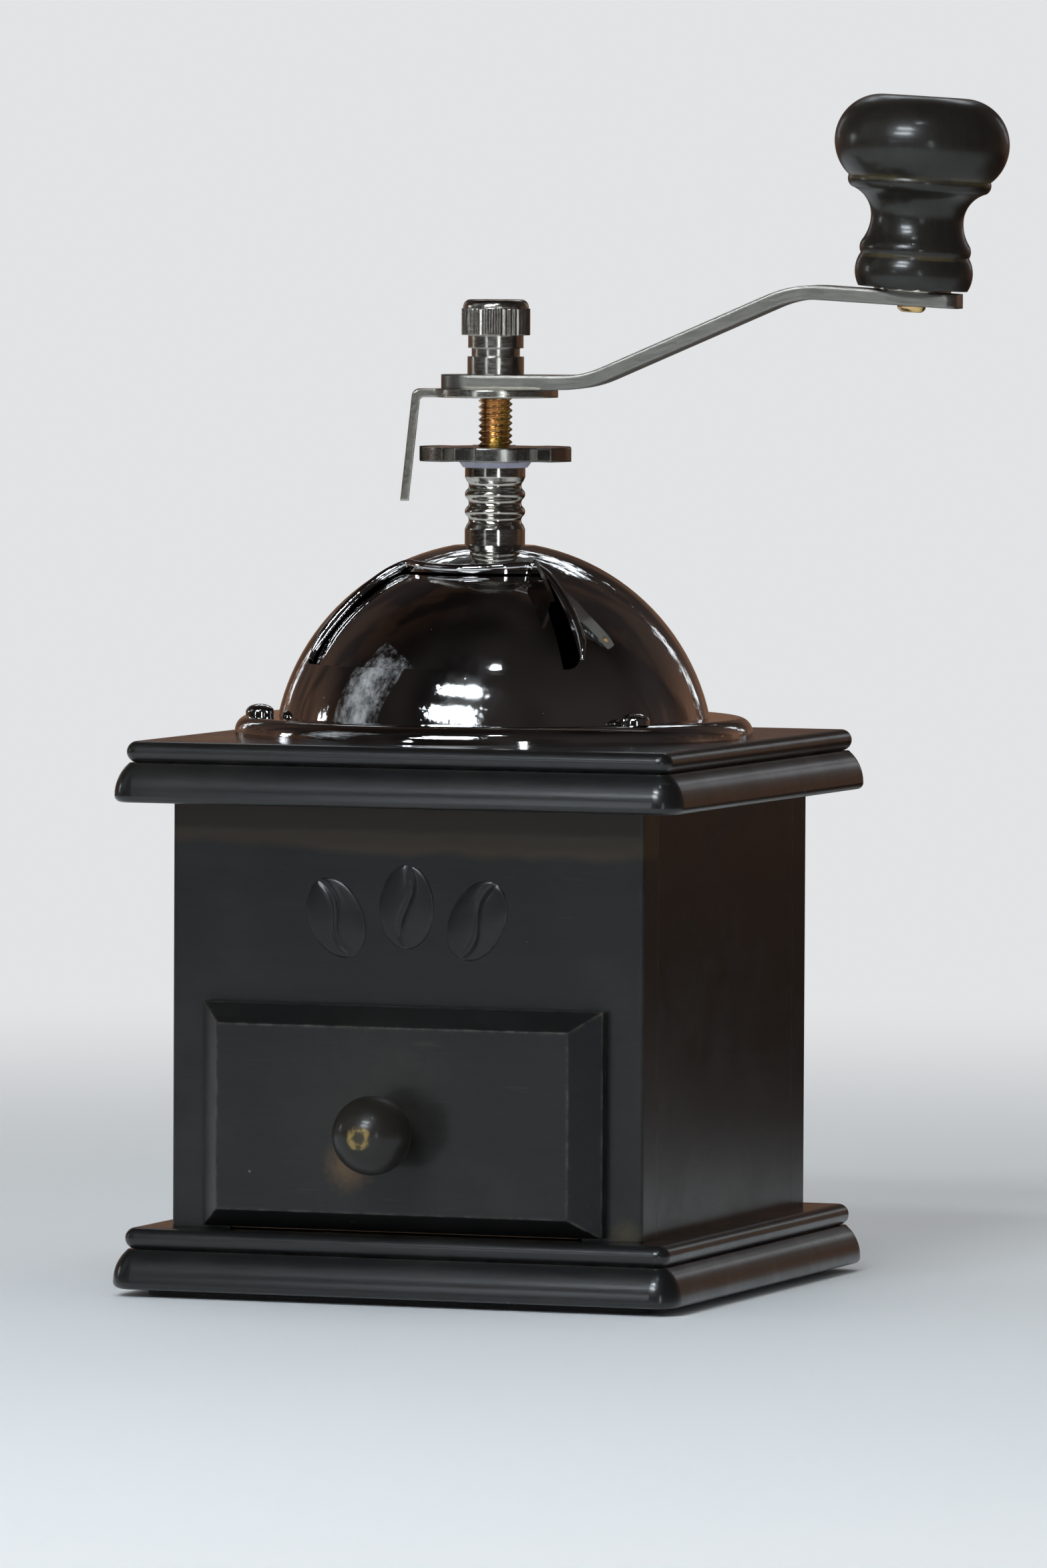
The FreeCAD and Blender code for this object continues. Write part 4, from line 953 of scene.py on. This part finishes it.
class MILL_OT_set_stage(bpy.types.Operator):
    """Lay the pale floor, hang the lamps and the cards, and place the camera"""

    bl_idname = "mill.set_stage"
    bl_label = "Set the stage"

    def execute(self, context):
        stage = context.scene.mill_stage
        context.scene.view_settings.view_transform = "Standard"
        self.lay_floor(stage)
        self.light_room(context.scene, stage)
        self.hang_cards(stage)
        self.hang_lamps(stage)
        self.place_camera(context.scene, stage)
        return {"FINISHED"}

    def lay_floor(self, stage):
        """A wide pale disc that fades into the backdrop.

        The gloss sees it end in a warm card, and nearest on the side that the right panel mirrors.
        """
        build = bmesh.new()
        bmesh.ops.create_circle(build, cap_ends=True, segments=96, radius=stage.floor_radius)
        floor = self.plain_object("floor", build)
        material, shader, place = new_material("pale_floor", rough=0.6)
        tree = material.node_tree
        feed(shader, "Base Color", opaque(stage.floor))
        away = vector_node("LENGTH", place)
        rays = make(tree, "ShaderNodeLightPath").outputs
        seen = times(remap(away, stage.fade_start, stage.fade_end), rays["Is Camera Ray"])
        faded = mix_shaders(seen, shader.outputs[0], glow(tree, stage.backdrop))
        near_end = (0.14, 0.42)
        far_end = (0.60, 1.30)
        card_strength = 0.25
        mirrored = direction(math.pi - stage.camera_turn, 0.0)
        heading = vector_node("NORMALIZE", place)
        sector = remap(vector_node("DOT_PRODUCT", heading, mirrored), 0.55, 0.90)
        short = times(sector, remap(away, *near_end))
        ends = times(math_node("MAXIMUM", short, remap(away, *far_end)), rays["Is Glossy Ray"])
        ended = mix_shaders(ends, faded, glow(tree, stage.room_warm, card_strength))
        clear = make(tree, "ShaderNodeBsdfTransparent").outputs[0]
        below = make(tree, "ShaderNodeNewGeometry").outputs["Backfacing"]
        both = mix_shaders(below, ended, clear)
        feed(tree.nodes["Material Output"], "Surface", both)
        floor.data.materials.append(material)

    def plain_object(self, name, build):
        mesh = bpy.data.meshes.new(name)
        build.to_mesh(mesh)
        build.free()
        return new_object(name, mesh)

    def light_room(self, scene, stage):
        """Even fill light; the camera and the plating see the pale backdrop instead."""
        world = bpy.data.worlds.new("studio")
        scene.world = world
        world.use_nodes = True
        tree = world.node_tree
        fill = tree.nodes["Background"]
        feed(fill, "Color", (1.0, 1.0, 1.0, 1.0))
        feed(fill, "Strength", stage.sky_strength)
        pale = make(tree, "ShaderNodeBackground", {"Color": opaque(stage.backdrop), "Strength": 1.0})
        rays = make(tree, "ShaderNodeLightPath").outputs
        seen = math_node("MAXIMUM", rays["Is Camera Ray"], rays["Is Glossy Ray"])
        mixed = mix_shaders(seen, fill.outputs[0], pale.outputs[0])
        feed(tree.nodes["World Output"], "Surface", mixed)

    def hang_cards(self, stage):
        """A wide shell of dark and warm cards that only the gloss of the mill sees."""
        build = bmesh.new()
        bmesh.ops.create_uvsphere(build, u_segments=64, v_segments=32, radius=stage.card_radius)
        under_floor = [vertex for vertex in build.verts if vertex.co.z < -0.01]
        bmesh.ops.delete(build, geom=under_floor, context="VERTS")
        cards = self.plain_object("cards", build)
        cards.visible_camera = False
        cards.visible_diffuse = False
        cards.visible_shadow = False
        material, _, place = new_material("dark_and_warm_cards")
        tree = material.node_tree
        outward = vector_node("NORMALIZE", place)
        rise = axes(outward)["Z"]
        to_camera = direction(stage.camera_turn, 0.0)
        warm = remap(vector_node("DOT_PRODUCT", outward, to_camera), 0.30, -0.70)
        upright = vector_node("MULTIPLY", outward, (1.0, 1.0, 0.3))
        streaks = remap(noise(upright, 4.0, 2.0), 0.42, 0.60, 0.12, 1.0)
        streaks = times(streaks, remap(rise, 0.12, 0.55, 1.0, 0.22))
        skirting = remap(rise, 0.06, 0.38, 0.6, 0.0)
        warmth = scaled(stage.room_warm, times(warm, plus(streaks, skirting)))
        gloom = remap(noise(upright, 1.4, 1.0), 0.36, 0.66, 0.45, 1.7)
        gloom = times(gloom, remap(rise, 0.45, 0.85, 1.0, 0.6))
        hue = vector_node("ADD", scaled(stage.room_dark, gloom), warmth)
        feed(tree.nodes["Material Output"], "Surface", glow(tree, hue))
        cards.data.materials.append(material)

    def hang_lamps(self, stage):
        """Soft boxes all round, and an even lamp overhead that the gloss doesn't see."""
        hang = self.hang_lamp
        hang("window_row_low", turn=-24, rise=27, away=1.15, face=(0.72, 0.17), power=9.0, panes=(6.0, 1.8))
        hang("window_row_high", turn=-21, rise=38.5, away=1.15, face=(0.6, 0.15), power=7.5, panes=(5.0, 1.6))
        hang("side_window", turn=-82, rise=27, away=1.2, face=(0.62, 0.95), power=0.4, panes=(1.3, 2.0),
             blur=0.16)
        hang("side_strip", turn=-106, rise=9, away=1.4, face=(0.24, 0.45), power=1.2, panes=(1.5, 3.0))
        hang("rear_window", turn=176, rise=36, away=1.3, face=(1.1, 0.55), power=1.6, panes=(2.4, 1.6))
        hang("rear_left_strip", turn=-152, rise=14, away=1.3, face=(0.32, 0.70), power=0.3, panes=(1.2, 2.0))
        hang("rear_right_strip", turn=146, rise=14, away=1.3, face=(0.32, 0.70), power=0.3, panes=(1.2, 2.0))
        hang("ceiling_spot", turn=1, rise=53, away=1.2, face=(0.13, 0.13), power=1.4, panes=(1.0, 1.0))
        hang("front_strip", turn=13, rise=3, away=1.4, face=(0.11, 0.55), power=1.6, panes=(1.0, 4.0))
        hang("front_left_strip", turn=-38, rise=6, away=1.4, face=(0.16, 0.40), power=0.6, panes=(2.0, 4.0))
        overhead = bpy.data.lights.new("overhead_fill", "AREA")
        overhead.shape = "DISK"
        overhead.size = stage.overhead_width
        overhead.energy = stage.overhead_power
        fill = new_object("overhead_fill", overhead)
        fill.location = (0.0, 0.0, stage.overhead_height)
        fill.visible_glossy = False
        fill.visible_camera = False

    def hang_lamp(self, name, turn, rise, away, face, power, panes, blur=0.0):
        """One soft box that faces the mill. Turn is in degrees to the right of the camera."""
        stage = bpy.context.scene.mill_stage
        data = bpy.data.lights.new(name, "AREA")
        data.shape = "RECTANGLE"
        data.size, data.size_y = face
        data.energy = power
        data.color = stage.daylight
        self.divide_lamp(data, panes, blur)
        lamp = new_object(name, data)
        outward = direction(stage.camera_turn + math.radians(turn), math.radians(rise))
        lamp.location = Vector((0.0, 0.0, stage.camera_target)) + outward * away
        lamp.rotation_mode = "QUATERNION"
        lamp.rotation_quaternion = outward.to_track_quat("Z", "Y")
        lamp.visible_camera = False

    def divide_lamp(self, data, panes, blur):
        """Breaks a lamp's face up into uneven panes, as leaves before a window do; blur softens them."""
        data.use_nodes = True
        tree = data.node_tree
        face = make(tree, "ShaderNodeNewGeometry").outputs["Parametric"]
        spread = vector_node("MULTIPLY", face, (*panes, 1.0))
        parts = axes(face)
        fade = 1.0
        for side in (parts["X"], parts["Y"]):
            inset = math_node("MINIMUM", side, math_node("SUBTRACT", 1.0, side))
            fade = times(fade, remap(inset, 0.0, 0.30))
        ragged = plus(noise(spread, 2.6, 6.0, 0.8), times(fade, 0.16))
        leaves = remap(ragged, 0.62 - blur, 0.72 + blur, 0.0, 3.4)
        feed(tree.nodes["Emission"], "Strength", leaves)

    def place_camera(self, scene, stage):
        turn, rise = stage.camera_turn, stage.camera_rise
        right = Vector((math.cos(turn), math.sin(turn), 0.0))
        back = direction(turn, rise)
        up = back.cross(right)
        target = Vector((0.0, 0.0, stage.camera_target)) + right * stage.camera_side - up * stage.camera_drop
        data = bpy.data.cameras.new("photo_camera")
        data.sensor_width = 36.0
        data.lens = stage.camera_lens
        data.clip_end = 100.0
        camera = new_object("photo_camera", data)
        turned = Matrix((right, up, back)).transposed().to_4x4()
        camera.matrix_world = (Matrix.Translation(target + back * stage.camera_distance) @ turned
                               @ Matrix.Rotation(stage.camera_roll, 4, "Z"))
        scene.camera = camera


class MILL_PT_mill(bpy.types.Panel):
    """Lists the steps that dress the mill, with their sizes and colours"""

    bl_idname = "MILL_PT_mill"
    bl_label = "Box coffee mill"
    bl_space_type = "VIEW_3D"
    bl_region_type = "UI"
    bl_category = "Mill"

    def draw(self, context):
        for operator in OPERATORS:
            self.layout.operator(operator.bl_idname)
        for group in (context.scene.mill_finishes, context.scene.mill_sizes, context.scene.mill_stage):
            box = self.layout.box()
            for name in group.__annotations__:
                box.prop(group, name)


OPERATORS = (MILL_OT_stain_wood, MILL_OT_plate_metal, MILL_OT_soft_sheets, MILL_OT_thread_shaft,
             MILL_OT_roll_window_edge, MILL_OT_recess_screws, MILL_OT_press_beans, MILL_OT_set_stage)
CLASSES = (MillFinishes, MillSizes, MillStage, *OPERATORS, MILL_PT_mill)


def register():
    for cls in CLASSES:
        bpy.utils.register_class(cls)
    bpy.types.Scene.mill_finishes = PointerProperty(type=MillFinishes)
    bpy.types.Scene.mill_sizes = PointerProperty(type=MillSizes)
    bpy.types.Scene.mill_stage = PointerProperty(type=MillStage)


def unregister():
    del bpy.types.Scene.mill_stage
    del bpy.types.Scene.mill_sizes
    del bpy.types.Scene.mill_finishes
    for cls in reversed(CLASSES):
        bpy.utils.unregister_class(cls)


def main():
    register()
    bpy.ops.mill.stain_wood()
    bpy.ops.mill.plate_metal()
    bpy.ops.mill.soft_sheets()
    bpy.ops.mill.thread_shaft()
    bpy.ops.mill.roll_window_edge()
    bpy.ops.mill.recess_screws()
    bpy.ops.mill.press_beans()
    bpy.ops.mill.set_stage()


if __name__ == "__main__":
    main()
